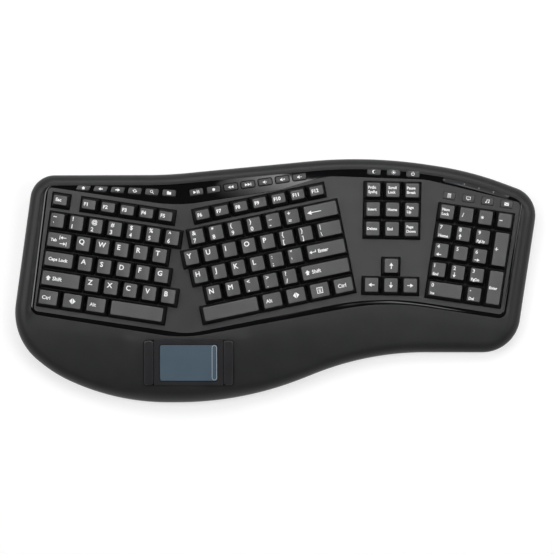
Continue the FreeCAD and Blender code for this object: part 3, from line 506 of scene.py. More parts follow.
# case: padLand is the land's half sizes and how far it eases out, padHole half sizes, corner and steps
caseShape = {
    "steps": (4.5, 4), "lid": 3.0, "wall": 2.8, "parting": 6.0, "seam": 0.6, "leastWall": 1.2,
    "insideDrop": 1.5, "leastInside": 0.3, "lidShares": (0.33, 0.67), "sharpAngle": 40,
    "lipRound": 0.8, "lipDrop": 1.1, "lipReach": 13.0, "lipTurns": (30, 60), "lipFall": 0.5,
    "acrossTop": 22, "bunching": 1.4, "rimRound": 10.5, "rimMost": 0.95, "rimTurns": range(10, 91, 10),
    "waist": 0.4, "padLand": (44.5, 23.0, 22.0, 13.0), "padRise": 1.5, "padHole": (44.2, 22.7, 3.7, 6),
    "padDepths": (-12, 8),
}


def castOut(places, normals, farPlaces, farNormals):
    # where each place's normal first meets the far outline, and that outline's normal there
    start, end = farPlaces, np.roll(farPlaces, -1, 0)
    edge = end - start
    gap = start[None] - places[:, None]
    cross = normals[:, None, 0] * edge[None, :, 1] - normals[:, None, 1] * edge[None, :, 0]
    with np.errstate(divide="ignore", invalid="ignore"):
        distance = (gap[..., 0] * edge[None, :, 1] - gap[..., 1] * edge[None, :, 0]) / cross
        share = (gap[..., 0] * normals[:, None, 1] - gap[..., 1] * normals[:, None, 0]) / cross
    hair, least = 1e-9, 1e-6   # a corner counts for both its sides, and no place meets itself
    good = (share >= -hair) & (share <= 1 + hair) & (distance > least)
    distance = np.where(good, distance, np.inf)
    best = distance.argmin(1)
    rows = np.arange(len(places))
    part = np.clip(share[rows, best], 0, 1)[:, None]
    hit = start[best] + edge[best] * part
    normal = farNormals[best] * (1 - part) + np.roll(farNormals, -1, 0)[best] * part
    return hit, normal / np.linalg.norm(normal, axis=1, keepdims=True)


def padRise(x, y):
    # the palm rest swells towards the touchpad's flat plane, less and less as the plane stands higher
    # above it, and eases back over the reach as a smooth step
    halfX, halfY, reachX, reachY = caseShape["padLand"]
    most = caseShape["padRise"]
    outX, outY = np.maximum(abs(x - touchX) - halfX, 0), np.maximum(abs(y - touchY) - halfY, 0)
    share = np.minimum(np.hypot(outX / reachX, outY / reachY), 1)
    plane = touch[0][2] + touchSlope * (y - touchY)
    above = np.maximum(plane - caseHeight(x, y), 0)
    return (1 - share * share * (3 - 2 * share)) * most * (1 - np.exp(-above / most))


def makeCase():
    # a closed section carried round the trim's outline: lip, top, rounded rim, wall, and back inside
    size = caseShape
    inner, innerNormal = outline(moved(trimCorners), *size["steps"])
    outer, outerNormal = castOut(inner, innerNormal, *outline(moved(caseCorners), *layout["caseSteps"]))
    rows = []

    def row(places, height):
        rows.append(atHeight(places, height))

    def lipRise(place):
        return (1 - size["lipFall"]) * padRise(*place.T)

    row(inner, caseHeight(*inner.T) - size["lid"])
    row(inner, caseHeight(*inner.T) + lipRise(inner) - size["lipDrop"] - size["lipRound"])
    for degrees in size["lipTurns"]:
        rising, falling = roundOff(degrees)
        place = inner + innerNormal * size["lipRound"] * rising
        below = size["lipDrop"] + size["lipRound"] * falling
        row(place, caseHeight(*place.T) + lipRise(place) - below)
    first = inner + innerNormal * size["lipRound"]
    last = outer - outerNormal * size["rimRound"]
    length = np.linalg.norm(last - first, axis=1)
    reach = np.minimum(size["lipReach"], length)
    for share in np.linspace(0, 1, size["acrossTop"]) ** size["bunching"]:
        place = first + (last - first) * share
        near = np.clip(1 - length * share / reach, 0, 1) ** 2   # falls to the lip as a parabola
        swell = (1 - size["lipFall"] * near) * padRise(*place.T)
        row(place, caseHeight(*place.T) - near * size["lipDrop"] + swell)
    room = caseHeight(*outer.T) - size["parting"] - size["leastWall"]
    drop = np.minimum(size["rimRound"], room * size["rimMost"])
    for degrees in size["rimTurns"]:
        rising, falling = roundOff(degrees)
        place = outer - outerNormal * size["rimRound"] * falling
        row(place, caseHeight(*place.T) - drop * rising + padRise(*place.T))
    edge = rows[-1][:, 2]
    seam = size["seam"]   # the wall ends in a small chamfer above the tray
    row(outer, edge * size["waist"] + (size["parting"] + seam) * (1 - size["waist"]))
    row(outer, size["parting"] + seam)
    row(outer - outerNormal * seam, size["parting"])
    thin = outer - outerNormal * size["wall"]
    row(thin, size["parting"])
    row(thin, np.maximum(edge - size["insideDrop"], size["parting"] + size["leastInside"]))
    under = outer - outerNormal * (size["rimRound"] + 1)
    row(under, caseHeight(*under.T) - size["lid"])
    for share in size["lidShares"]:
        place = under + (inner - under) * share
        row(place, caseHeight(*place.T) - size["lid"])
    count = len(inner)
    faces = gridFaces(len(rows), count, closed=True, wrap=True)[:, ::-1]
    case = putMesh("case_shell", np.concatenate(rows), faces, [satinBlack], "case", ["top_case"],
                   slot="case_black")
    hole, polygons = prism(roundRect(*size["padHole"]), *size["padDepths"])
    carve(case, tool([(inFrame(touch, hole), polygons)]))
    shadeByAngle(case.data, size["sharpAngle"])
    return case


case = makeCase()
print("case made:", len(case.data.polygons), "faces")

# keys
pitch = layout["pitch"]
capSharp, markSharp = 50, 30   # degrees past which an edge stays sharp on caps and on legends
# side, front and rear are how far a cap's walls lean in, and flatFrom is a width in pitches
keyShape = {
    "keyGap": 0.9, "height": 7.8, "skirt": 1.2, "side": 2.6, "front": 3.3, "rear": 1.3, "shortFront": 3.8,
    "shortRear": 2.3, "dish": 0.6, "flatFrom": 2.9, "edge": 0.45, "edgeTurns": (28, 52, 74), "corner": 1.25,
    "skirtCorner": 1.0, "wall": 1.3, "hollowCorner": 0.6, "roof": 2.0, "roofCorner": 0.8, "roofGrow": 0.5,
    "stem": (5.0, 4.0), "stemCorner": 0.4, "stemEnd": 6.0, "stemInto": 0.5, "functionRow": 20.2,
    "functionDepth": 15.9,
}


def domedTop(halfX, halfY, radius, insideX, insideY):
    # a grid whose border is a rounded rectangle: its outer lines bunch up so that corners fall on
    # quarter circles
    def lines(half, inside):
        near = half - radius * np.array((0, 0.617, 1.0))   # the middle line meets the arc at 22.5 degrees
        middle = np.linspace(-(half - radius), half - radius, inside + 2)[1:-1]
        return np.concatenate((-near, middle, near[::-1]))

    xs, ys = lines(halfX, insideX), lines(halfY, insideY)
    x, y = np.meshgrid(xs, ys, indexing="ij")
    x, y = x.copy(), y.copy()
    for sx, sy in ((-1, -1), (-1, 1), (1, -1), (1, 1)):
        for i, j, degrees in ((0, 0, 45), (0, 1, 67.5), (1, 0, 22.5)):
            a, b = (i if sx < 0 else -1 - i), (j if sy < 0 else -1 - j)
            angle = math.radians(degrees)
            x[a, b] = sx * (halfX - radius + radius * math.sin(angle))
            y[a, b] = sy * (halfY - radius + radius * math.cos(angle))
    nx, ny = len(xs), len(ys)
    index = np.arange(nx * ny).reshape(nx, ny)
    border = np.concatenate((index[:-1, 0], index[-1, :-1], index[:0:-1, -1], index[0, :0:-1]))
    faces = np.stack([index[:-1, :-1], index[1:, :-1], index[1:, 1:], index[:-1, 1:]], -1).reshape(-1, 4)
    return np.column_stack((x.ravel(), y.ravel())), faces, border


def capTopSize(width, depth):
    # half sizes of the flat top and how far its middle sits behind the cap's middle
    front, rear = keyShape["front"], keyShape["rear"]
    if depth < pitch:
        front, rear = keyShape["shortFront"], keyShape["shortRear"]
    gap = keyShape["keyGap"]
    return (width - gap) / 2 - keyShape["side"], (depth - gap - front - rear) / 2, (front - rear) / 2


def capTopHeight(x, half, dish):
    # the dish is a shallow valley along the middle, deepest where x is nought
    return keyShape["height"] - dish * (1 - (x / half) ** 2)


def capMesh(width, depth, dish):
    # top grid, then rings down the rounded edge and the sloped sides, a hollow underneath and a stem
    size = keyShape
    halfX, halfY = (width - size["keyGap"]) / 2, (depth - size["keyGap"]) / 2
    topX, topY, back = capTopSize(width, depth)
    edge, corner = size["edge"], size["corner"]
    wide = max(3, round(width / pitch * 3))   # lines inside the top's grid, by the key's size
    tall = max(1, round(depth / pitch * 2) - 1)

    def rounded(hx, hy, radius):
        return domedTop(hx, hy, radius, wide, tall)

    top, faces, border = rounded(topX - edge, topY - edge, corner - edge)
    points = [atHeight(top + (0, back), capTopHeight(top[:, 0], topX, dish))]
    count = len(top)
    rings = []

    def ring(hx, hy, radius, shiftY, height):
        nonlocal count
        flat = rounded(hx, hy, radius)[0][border]
        level = height(flat[:, 0]) if callable(height) else height
        points.append(atHeight(flat + (0, shiftY), level))
        rings.append(np.arange(len(flat)) + count)
        count += len(flat)

    for degrees in size["edgeTurns"]:
        rising, falling = roundOff(degrees)
        grow = edge * falling
        ring(topX - grow, topY - grow, corner - grow, back,
             lambda x: capTopHeight(x, topX, dish) - edge * rising)
    ring(halfX, halfY, size["skirtCorner"], 0, -size["skirt"])
    ring(halfX - size["wall"], halfY - size["wall"], size["hollowCorner"], 0, -size["skirt"])
    roofX, roofY = topX - size["wall"] + size["roofGrow"], topY - size["wall"] + size["roofGrow"]
    roofFlat, roofFaces, _ = rounded(roofX, roofY, size["roofCorner"])
    roof = np.arange(len(roofFlat)) + count
    points.append(atHeight(roofFlat + (0, back), size["height"] - size["roof"]))
    count += len(roofFlat)
    loops = [border] + rings + [roof[border]]
    polygons = [faces]
    # kind nought is the top and its rounded edge, kind one the sides and underside with the painted shade
    kinds = [np.zeros(len(faces), int)]
    for i, (upper, lower) in enumerate(zip(loops, loops[1:])):
        quads = between(upper, lower)
        polygons.append(quads)
        kinds.append(np.full(len(quads), 0 if i < len(size["edgeTurns"]) else 1))
    polygons.append((roofFaces + roof[0])[:, ::-1])
    kinds.append(np.ones(len(roofFaces), int))
    stemX, stemY = size["stem"]
    stem, stemFaces = prism(roundRect(stemX / 2, stemY / 2, size["stemCorner"], 2), -size["stemEnd"],
                            size["height"] - size["roof"] + size["stemInto"])
    points.append(stem)
    polygonList = [list(f) for block in polygons for f in block]
    polygonList += [[i + count for i in f] for f in stemFaces]
    kinds.append(np.ones(len(stemFaces), int))
    return np.concatenate(points), polygonList, np.concatenate(kinds)


# zone, row, the first key's left edge in pitches, then each node with its keys' widths in pitches
keyRows = [
    ("left", 0, -0.5, [("keys_number_left", [1] * 7)]),
    ("left", -1, -0.5, [("key_tab", [1.5]), ("keys_top_row_left", [1] * 5)]),
    ("left", -2, -0.5, [("key_caps_lock", [1.75]), ("keys_home_row_left", [1] * 5)]),
    ("left", -3, -0.5, [("key_shift_left", [2.25]), ("keys_bottom_row_left", [1] * 5)]),
    ("left", -4, -0.5, [("keys_modifiers_left", [1.25] * 3), ("key_space_left", [3])]),
    ("right", 0, -0.5, [("keys_number_right", [1] * 6), ("key_backspace", [2])]),
    ("right", -1, -1, [("keys_top_row_right", [1] * 7 + [1.5])]),
    ("right", -2, -0.75, [("keys_home_row_right", [1] * 6), ("key_enter", [2.25])]),
    ("right", -3, -0.25, [("keys_bottom_row_right", [1] * 5), ("key_shift_right", [2.75])]),
    ("right", -4, -0.625, [("key_space_right", [3.125]), ("keys_modifiers_right", [1.25] * 4)]),
    ("navigation", 0, -1.5, [("keys_print_scroll_pause", [1] * 3)]),
    ("navigation", -1, -1.5, [("keys_insert_home_pageup", [1] * 3)]),
    ("navigation", -2, -1.5, [("keys_delete_end_pagedown", [1] * 3)]),
    ("navigation", -3.9, -0.5, [("key_arrow_up", [1])]),
    ("navigation", -4.9, -1.5, [("key_arrow_left", [1]), ("key_arrow_down", [1]), ("key_arrow_right", [1])]),
    ("pad", 0, -0.5, [("keys_pad_top", [1] * 4)]),
    ("pad", -1, -0.5, [("keys_pad_789", [1] * 3)]),
    ("pad", -2, -0.5, [("keys_pad_456", [1] * 3)]),
    ("pad", -3, -0.5, [("keys_pad_123", [1] * 3)]),
    ("pad", -4, -0.5, [("keys_pad_bottom", [2, 1])]),
]
keys = {}   # node: list of zone, along, up, width, depth
for zone, row, edge, groups in keyRows:
    for node, widths in groups:
        for width in widths:
            middle = (edge + width / 2) * pitch
            keys.setdefault(node, []).append((zone, middle, row * pitch, width * pitch, pitch))
            edge += width
for node, row in (("key_pad_plus", -1.5), ("key_pad_enter", -3.5)):
    keys[node] = [("pad", 3 * pitch, row * pitch, pitch, 2 * pitch)]
for node, zone, first, many in (("key_escape", "left", 0, 1), ("keys_f1_f5", "left", 1.5, 5),
                                ("keys_f6_f12", "right", 0.5, 7)):
    keys[node] = [(zone, (first + i) * pitch, keyShape["functionRow"], pitch, keyShape["functionDepth"])
                  for i in range(many)]


def dishOf(width):
    # the space bars are flat
    return 0 if width > keyShape["flatFrom"] * pitch else keyShape["dish"]


capKinds = {}
for node, caps in keys.items():
    parts, kinds = [], []
    for zone, along, up, width, depth in caps:
        if (width, depth) not in capKinds:
            capKinds[width, depth] = capMesh(width, depth, dishOf(width))
        flat, polygons, kind = capKinds[width, depth]
        parts.append((inFrame(zones[zone], flat + (along, up, 0)), polygons))
        kinds.append(kind)
    putMesh(node + "_caps", *joined(parts), [capTop, capSideShade], node, [node], capSharp, np.concatenate(kinds),
            "cap_grey")
print("key caps made:", sum(len(caps) for caps in keys.values()))

# legends: generic letters, words and signs as thin closed solids on the caps
legendShape = {
    "raise": 0.06, "sink": 0.25, "left": -4.3, "letter": 4.8, "letterRise": 2.1,
    "pair": 4.0, "pairRises": (3.9, -3.4), "padWord": 2.7, "smooth": 3, "merge": 1e-5,
    "bold": 0.024, "small": 3.5, "smallBold": 0.036,
}


def textSolid(words, bold=legendShape["bold"]):
    # text as a closed solid from height nought to one, starting at x nought on the line y nought
    curve = bpy.data.curves.new("words", "FONT")
    curve.body, curve.extrude, curve.resolution_u = words, 0.5, legendShape["smooth"]
    curve.bevel_depth, curve.bevel_resolution = bold, 0   # widens the strokes all round
    letters = placed("words", curve)
    bpy.context.view_layer.update()
    mesh = bpy.data.meshes.new_from_object(letters)
    work = mergedWork(mesh, legendShape["merge"])
    bmesh.ops.recalc_face_normals(work, faces=work.faces)
    work.verts.index_update()
    points = np.array([v.co for v in work.verts])
    faces = [[v.index for v in f.verts] for f in work.faces]
    work.free()
    bpy.data.objects.remove(letters)
    bpy.data.curves.remove(curve)
    bpy.data.meshes.remove(mesh)
    points[:, 0] -= points[:, 0].min()
    points[:, 2] += 0.5
    return points, faces


capital = textSolid("H")[0][:, 1].max()
wordSolids = {}


def word(words, height, x, y):
    # words from x to the right, their capitals of one height centred on y
    bold = legendShape["smallBold" if height < legendShape["small"] else "bold"]
    if (words, bold) not in wordSolids:
        wordSolids[words, bold] = textSolid(words, bold)
    points, faces = wordSolids[words, bold]
    size = height / capital
    return points * (size, size, 1) + (x, y - height / 2, 0), faces


def letter(words):
    # one letter at the upper left of a key
    return [word(words, legendShape["letter"], legendShape["left"], legendShape["letterRise"])]


def pair(upper, lower):
    # two characters, one above the other
    return [word(words, legendShape["pair"], legendShape["left"], y)
            for words, y in zip((upper, lower), legendShape["pairRises"])]


def sign(polygons, x=0, y=0, turn=0, size=1):
    # flat polygons turned by an angle in degrees, scaled, moved and given thickness
    c, s = math.cos(math.radians(turn)) * size, math.sin(math.radians(turn)) * size
    parts = []
    for line in polygons:
        line = np.array(line, float) @ np.array(((c, s), (-s, c))) + (x, y)
        ahead = np.roll(line, -1, 0)
        if (line[:, 0] * ahead[:, 1] - ahead[:, 0] * line[:, 1]).sum() < 0:
            line = line[::-1]
        parts.append(prism(line, 0, 1))
    return joined(parts)


def bar(x1, y1, x2, y2):
    # a rectangle from corner to corner
    return np.array([(x1, y1), (x2, y1), (x2, y2), (x1, y2)], float)


def arc(radius, start, stop, width=0.0, centre=(0, 0), steps=10):
    # a disc or part of one, or a ring's part where it has a width
    ray = rayAt(np.radians(np.linspace(start, stop, steps + 1)))
    if width:
        return np.concatenate((ray * (radius + width / 2), ray[::-1] * (radius - width / 2))) + centre
    return ray[:-1] * radius + centre if stop - start == 360 else ray * radius + centre


def arrow(length, head=3.0, wide=4.0, shaft=0.8):
    # points to plus x, centred
    end, neck = length / 2, length / 2 - head
    return [[(-end, -shaft / 2), (neck, -shaft / 2), (neck, -wide / 2), (end, 0), (neck, wide / 2),
             (neck, shaft / 2), (-end, shaft / 2)]]


shiftArrow = [[(-1.3, -2.3), (1.3, -2.3), (1.3, 0), (2.6, 0), (0, 2.5), (-2.6, 0), (-1.3, 0)]]
tabArrows = [word("Tab", 2.8, -8.6, 0), sign(arrow(6.0, 2.4, 3.2, 0.7), 3.7, 2.9, 180),
             sign([bar(-0.35, -2, 0.35, 2)], 0.2, 2.9), sign(arrow(6.0, 2.4, 3.2, 0.7), 3.7, -2.9),
             sign([bar(-0.35, -2, 0.35, 2)], 7.2, -2.9)]
enterArrow = [[(-3.6, 0), (-1.2, 1.7), (-1.2, 0.35), (2.3, 0.35), (2.3, 1.9), (3.1, 1.9), (3.1, -0.35),
               (-1.2, -0.35), (-1.2, -1.7)]]
diamond = [[(-3.2, 0), (-0.25, -2.95), (-0.25, 2.95)], [(3.2, 0), (0.25, 2.95), (0.25, -2.95)]]
menuSquare = [bar(-3, -3, 3, -2.3), bar(-3, 2.3, 3, 3), bar(-2.95, -2.4, -2.3, 2.4),
              bar(2.3, -2.4, 2.95, 2.4), bar(-1.3, 0.9, 1.3, 1.5), bar(-1.3, -0.4, 1.3, 0.2),
              bar(-1.3, -1.7, 1.3, -1.1)]


def lines(upper, lower, x=-5.2, height=2.6):
    # two short words, one above the other
    return [word(upper, height, x, 2.4), word(lower, height, x, -2.0)]


def padKey(digit, below=None, turn=None):
    # a digit over a word, or over an arrow turned by some degrees
    marks = [word(digit, 3.6, -4.8, 3.8)]
    if below:
        marks.append(word(below, legendShape["padWord"], -5.2, -4.4))
    if turn is not None:
        x, y = (-3.1, -2.9) if turn in (90, -90) else (-2.2, -4.2)
        marks.append(sign(arrow(5.2, 2.6, 3.4, 0.8), x, y, turn))
    return marks


capLegends = {
    "key_escape": [[word("Esc", 3.1, -4.6, 0.5)]],
    "keys_f1_f5": [[word("F%d" % k, 3.4, -4.9, 0.2)] for k in range(1, 6)],
    "keys_f6_f12": [[word("F%d" % k, 3.4, -4.9, 0.2)] for k in range(6, 13)],
    "keys_number_left": [pair(*p) for p in ("~`", "!1", "@2", "#3", "$4", "%5", "^6")],
    "keys_number_right": [pair(*p) for p in ("&7", "*8", "(9", ")0", "_-", "+=")],
    "key_tab": [tabArrows],
    "keys_top_row_left": [letter(c) for c in "QWERT"],
    "keys_top_row_right": [letter(c) for c in "YUIOP"] + [pair(*p) for p in ("{[", "}]")] + [
        [word("|", 3.7, -9.0, 3.9), word("\\", 3.7, -9.4, -3.4)]],
    "key_caps_lock": [[word("Caps Lock", 3.1, -10.3, 0.2)]],
    "keys_home_row_left": [letter(c) for c in "ASDFG"],
    "keys_home_row_right": [letter(c) for c in "HJKL"] + [pair(*p) for p in (":;", "\"'")],
    "key_shift_left": [[sign(shiftArrow, -12.5, 0.2), word("Shift", 3.7, -8.3, 0.3)]],
    "keys_bottom_row_left": [letter(c) for c in "ZXCVB"],
    "keys_bottom_row_right": [letter(c) for c in "NM"] + [pair(*p) for p in ("<,", ">.", "?/")],
    "key_shift_right": [[sign(shiftArrow, -17.9, 0.2), word("Shift", 3.6, -13.4, 0.1)]],
    "keys_modifiers_left": [[word("Ctrl", 3.6, -6.3, 0)], [sign(diamond)], [word("Alt", 3.5, -6.5, 0)]],
    "keys_modifiers_right": [[word("Alt", 3.5, -6.5, 0)], [sign(diamond)], [sign(menuSquare)],
                             [word("Ctrl", 3.6, -5.6, 0)]],
    "key_enter": [[sign(enterArrow, -13.3, -0.2), word("Enter", 3.3, -8.2, 0)]],
    "key_backspace": [[sign(arrow(14, 4.2, 4.2, 0.8), -6.6, 0, 180)]],
    "keys_print_scroll_pause": [lines("PrtSc", "SysRq"), lines("Scroll", "Lock", -4.6),
                                lines("Pause", "Break")],
    "keys_insert_home_pageup": [[word("Insert", 2.6, -5.2, 0)], [word("Home", 2.6, -4.7, 0)],
                                lines("Page", "Up", -4.9)],
    "keys_delete_end_pagedown": [[word("Delete", 2.6, -5.6, 0)], [word("End", 2.6, -4.7, 0)],
                                 lines("Page", "Down", -4.9)],
    "key_arrow_up": [[sign(arrow(6), turn=90)]], "key_arrow_left": [[sign(arrow(6), turn=180)]],
    "key_arrow_down": [[sign(arrow(6), turn=-90)]], "key_arrow_right": [[sign(arrow(6))]],
    "keys_pad_top": [lines("Num", "Lock"), [word("/", 3.9, -4.2, -0.4)], [word("*", 4.6, -4.6, -1.2)],
                     [sign([bar(-1.6, -0.4, 1.6, 0.4)], -3.7, -0.4)]],
    "keys_pad_789": [padKey("7", "Home"), padKey("8", turn=90), padKey("9", "PgUp")],
    "keys_pad_456": [padKey("4", turn=180), padKey("5"), padKey("6", turn=0)],
    "keys_pad_123": [padKey("1", "End"), padKey("2", turn=-90), padKey("3", "PgDn")],
    "keys_pad_bottom": [[word("0", 3.6, -14.3, 3.6), word("Ins", 2.6, -14.3, -4.3)],
                        [word(".", 4.5, -4.6, 5.2), word("Del", 2.7, -4.8, -4.3)]],
    "key_pad_plus": [[sign([bar(-1.8, -0.4, 1.8, 0.4), bar(-0.4, 0.4, 0.4, 1.8),
                            bar(-0.4, -1.8, 0.4, -0.4)], -3.9, -0.4)]],
    "key_pad_enter": [[word("Enter", 2.6, -5.4, -0.6)]],
}


def laid(mark, level):
    # a mark's lower points go under the surface and its upper points just above it
    flat, faces = mark
    offset = np.where(flat[:, 2] > 0.5, legendShape["raise"], -legendShape["sink"])
    return atHeight(flat[:, :2], level(*flat[:, :2].T) + offset), faces


for node, caps in capLegends.items():
    parts = []
    for (zone, along, up, width, depth), marks in zip(keys[node], caps):
        topX, _, back = capTopSize(width, depth)
        for mark in marks:
            flat, faces = laid(mark, lambda x, y: capTopHeight(x, topX, dishOf(width)))
            parts.append((inFrame(zones[zone], flat + (along, up + back, 0)), faces))
    putMesh(node + "_legends", *joined(parts), [legendWhite], node, sharp=markSharp, slot="legend_white")
print("legends made:", len(capLegends))

# small buttons and touchpad buttons
# round and square are length, depth, height above the deck and corner radius
buttonShape = {
    "round": (12.8, 5.8, 0.6, 1.2), "square": (11.3, 6.9, 1.3, 1.3), "foot": -3.1, "crown": 0.25,
    "edge": 0.35, "slot": 1.0, "slotDepths": (-8, 6), "signDepth": 5.4, "appsUp": 17.3, "powerTurn": -3.3,
    "browserDepths": (4.5, 5.0, 5.4, 5.8, 5.9, 5.9), "browserSlants": (0.45, 0.35, 0.25, 0.18, 0.1, 0.05),
}
# rows on the trim: how many, the first one's x and y, the step to the next and the turn in degrees
buttonRows = {
    "keys_browser": (6, (-188.5, 91.1), (16.82, -1.06), -4),
    "keys_media": (7, (-77.6, 86.7), (16.8, 2.52), 8.5),
}
powerPlaces = ((96.5, 107.3), (115.8, 106.6), (134.8, 105.1))
buttons = {node: [(trimFrame(x + i * stepX, y + i * stepY, yaw), 0, 0) for i in range(many)]
           for node, (many, (x, y), (stepX, stepY), yaw) in buttonRows.items()}
buttons["keys_power"] = [(trimFrame(*place, buttonShape["powerTurn"]), 0, 0) for place in powerPlaces]
buttons["keys_apps"] = [(zones["pad"], i * pitch, buttonShape["appsUp"]) for i in range(4)]


def slabMesh(halfX, halfY, radius, top, bottom, crown, edge, insideX=2, insideY=1):
    # a crowned top, highest in the middle and lower by x squared plus y squared, over rounded edges
    # and straight sides
    def lower(x, y):
        return crown * ((x / halfX) ** 2 + (y / halfY) ** 2) / 2

    flat, faces, border = domedTop(halfX - edge, halfY - edge, radius - edge, insideX, insideY)
    points = [atHeight(flat, top - lower(*flat.T))]
    count, loops = len(flat), [border]
    for degrees in (30, 60, 90, None):   # the last ring is the foot
        rising, falling = roundOff(degrees or 90)
        grow = edge * falling
        side = domedTop(halfX - grow, halfY - grow, radius - grow, insideX, insideY)[0][border]
        points.append(atHeight(side, top - lower(*side.T) - edge * rising if degrees else bottom))
        loops.append(np.arange(len(side)) + count)
        count += len(side)
    polygons = [list(f) for f in faces]
    for upper, below in zip(loops, loops[1:]):
        polygons += between(upper, below).tolist()
    polygons.append(loops[-1][::-1].tolist())
    return np.concatenate(points), polygons


speaker = [(-2.2, -0.7), (-1.2, -0.7), (0.2, -1.8), (0.2, 1.8), (-1.2, 0.7), (-2.2, 0.7)]


def triangle(x, way, size=1.5):
    # points to plus or minus x
    return [(x - way * size * 0.9, -size), (x - way * size * 0.9, size), (x + way * size * 0.9, 0)]


def signs():
    # what the small buttons say, in their order along each row
    refresh = [arc(1.3, 20, 150, 0.6), arc(1.3, 200, 330, 0.6), [(-2.2, 0.7), (-0.6, 0.9), (-1.3, -0.7)],
               [(2.2, -0.7), (0.6, -0.9), (1.3, 0.7)]]
    search = [arc(1.2, 0, 180, 0.5, (-0.4, 0.5)), arc(1.2, 178, 362, 0.5, (-0.4, 0.5)),
              [(0.35, -0.6), (0.75, -0.2), (2.0, -1.5), (1.6, -1.9)]]
    moon = [np.concatenate((arc(1.7, 45, 315), arc(1.25, 285, 75, 0, (0.88, 0))))]
    rays = [bar(1.3, -0.25, 2.1, 0.25) @ np.array(((math.cos(a), math.sin(a)), (-math.sin(a), math.cos(a))))
            for a in np.radians(np.arange(0, 360, 45))]
    note = [arc(0.75, 0, 360, 0, (-1.4, -1.2)), arc(0.75, 0, 360, 0, (1.1, -0.9)),
            bar(-1.1, -1.0, -0.65, 1.5), bar(1.4, -0.7, 1.85, 1.9),
            [(-0.7, 0.9), (1.45, 1.3), (1.45, 1.85), (-0.7, 1.45)]]
    keypad = [bar(-1.7, 1.1, 1.7, 2.0)] + [bar(x, y, x + 0.9, y + 0.7) for x in (-1.7, -0.45, 0.8)
                                           for y in (-2.0, -1.0, 0.0)]
    screen = [bar(-2.2, 1.3, 2.2, 1.8), bar(-2.2, -1.1, 2.2, -0.6), bar(-2.15, -0.7, -1.7, 1.4),
              bar(1.7, -0.7, 2.15, 1.4), bar(-0.9, -1.8, 0.9, -1.3)]
    letterbox = [[(-2.3, 1.5), (-2.3, 1.1), (0, -0.2), (2.3, 1.1), (2.3, 1.5)],
                 [(-2.3, 0.7), (-2.3, -1.5), (2.3, -1.5), (2.3, 0.7), (0, -0.6)]]
    return {
        "keys_browser": [
            [[(-2.3, -0.1), (0, 1.9), (2.3, -0.1), (1.5, -0.1), (1.5, -1.7), (-1.5, -1.7), (-1.5, -0.1)]],
            [np.array(arrow(4.6, 2.4, 3.4, 1.2)[0]) * (-1, 1)], arrow(4.6, 2.4, 3.4, 1.2), refresh, search,
            [[(-2.1, -1.6), (2.1, -1.6), (2.1, 1.1), (0.2, 1.1), (-0.3, 1.7), (-2.1, 1.7)]]],
        "keys_media": [
            [triangle(-1.7, 1), bar(0.3, -1.5, 1.1, 1.5), bar(1.9, -1.5, 2.7, 1.5)], [arc(1.5, 0, 360)],
            [triangle(-1.6, -1), triangle(1.2, -1)],
            [triangle(-1.7, 1), triangle(1.0, 1), bar(2.5, -1.5, 3.1, 1.5)],
            [speaker, bar(0.9, -0.9, 1.3, 0.9)],
            [speaker, bar(0.8, -0.3, 2.6, 0.3), bar(1.4, 0.3, 2.0, 0.9), bar(1.4, -0.9, 2.0, -0.3)],
            [speaker, bar(0.8, -0.3, 2.4, 0.3)]],
        "keys_power": [
            moon, [arc(0.9, 0, 360)] + rays, [arc(1.5, 130, 410, 0.6), bar(-0.3, -0.2, 0.3, 2.2)]],
        "keys_apps": [keypad, screen, note, letterbox],
    }


def buttonSize(node, i):
    # length, depth, height, corner radius and slant of one small button
    long, short, rise, radius = buttonShape["square" if node == "keys_apps" else "round"]
    if node == "keys_browser":
        return long, buttonShape["browserDepths"][i], rise, radius, buttonShape["browserSlants"][i]
    return long, short, rise, radius, 0


buttonSigns = signs()
for node, places in buttons.items():
    caps, marks = [], []
    for i, (spot, along, up) in enumerate(places):
        long, deep, rise, radius, slant = buttonSize(node, i)
        crown = buttonShape["crown"]
        flat, polygons = slabMesh(long / 2, deep / 2, radius, rise, buttonShape["foot"], crown,
                                  buttonShape["edge"])
        flat[:, 0] += slant * flat[:, 1]
        caps.append((inFrame(spot, flat + (along, up, 0)), polygons))
        mark = sign(buttonSigns[node][i], size=min(1, deep / buttonShape["signDepth"]))
        flat, polygons = laid(
            mark, lambda x, y: rise - crown * ((x / long * 2) ** 2 + (y / deep * 2) ** 2) / 2)
        marks.append((inFrame(spot, flat + (along, up, 0)), polygons))
    putMesh(node + "_caps", *joined(caps), [buttonGrey], node, [node], capSharp, slot="button_black")
    putMesh(node + "_signs", *joined(marks), [legendWhite], node, sharp=markSharp, slot="legend_white")

# half length, half depth, corner radius, top, bottom, crown, edge, then the grid's inner lines both ways
touchButton = {"slab": (4.7, 22.1, 2.8, 1.1, -2.9, 0.35, 0.8, 2, 6), "out": 39.1}
for side, way in (("left", -1), ("right", 1)):
    flat, polygons = slabMesh(*touchButton["slab"])
    node = "touchpad_button_" + side
    putMesh(node + "_cap", inFrame(touch, flat + (way * touchButton["out"], 0, 0)), polygons, [bezelBlack],
            node, [node], capSharp, slot="bezel_black")
print("buttons made")

# silicone sheet: one dome under each key and button
domeShape = {   # outside and inside are radii and heights along the wall
    "outside": ((3.4, -0.2), (3.6, 0.0), (3.4, 0.6), (2.4, 2.8), (2.0, 3.38)),
    "inside": ((1.5, 2.6), (2.9, 0.5), (3.0, -0.2)),
    "depth": 9.4, "sides": 16, "small": 0.6, "keyKeep": 0.1, "buttonKeep": 0.68, "cutAbove": 1.5, "sharp": 35,
}


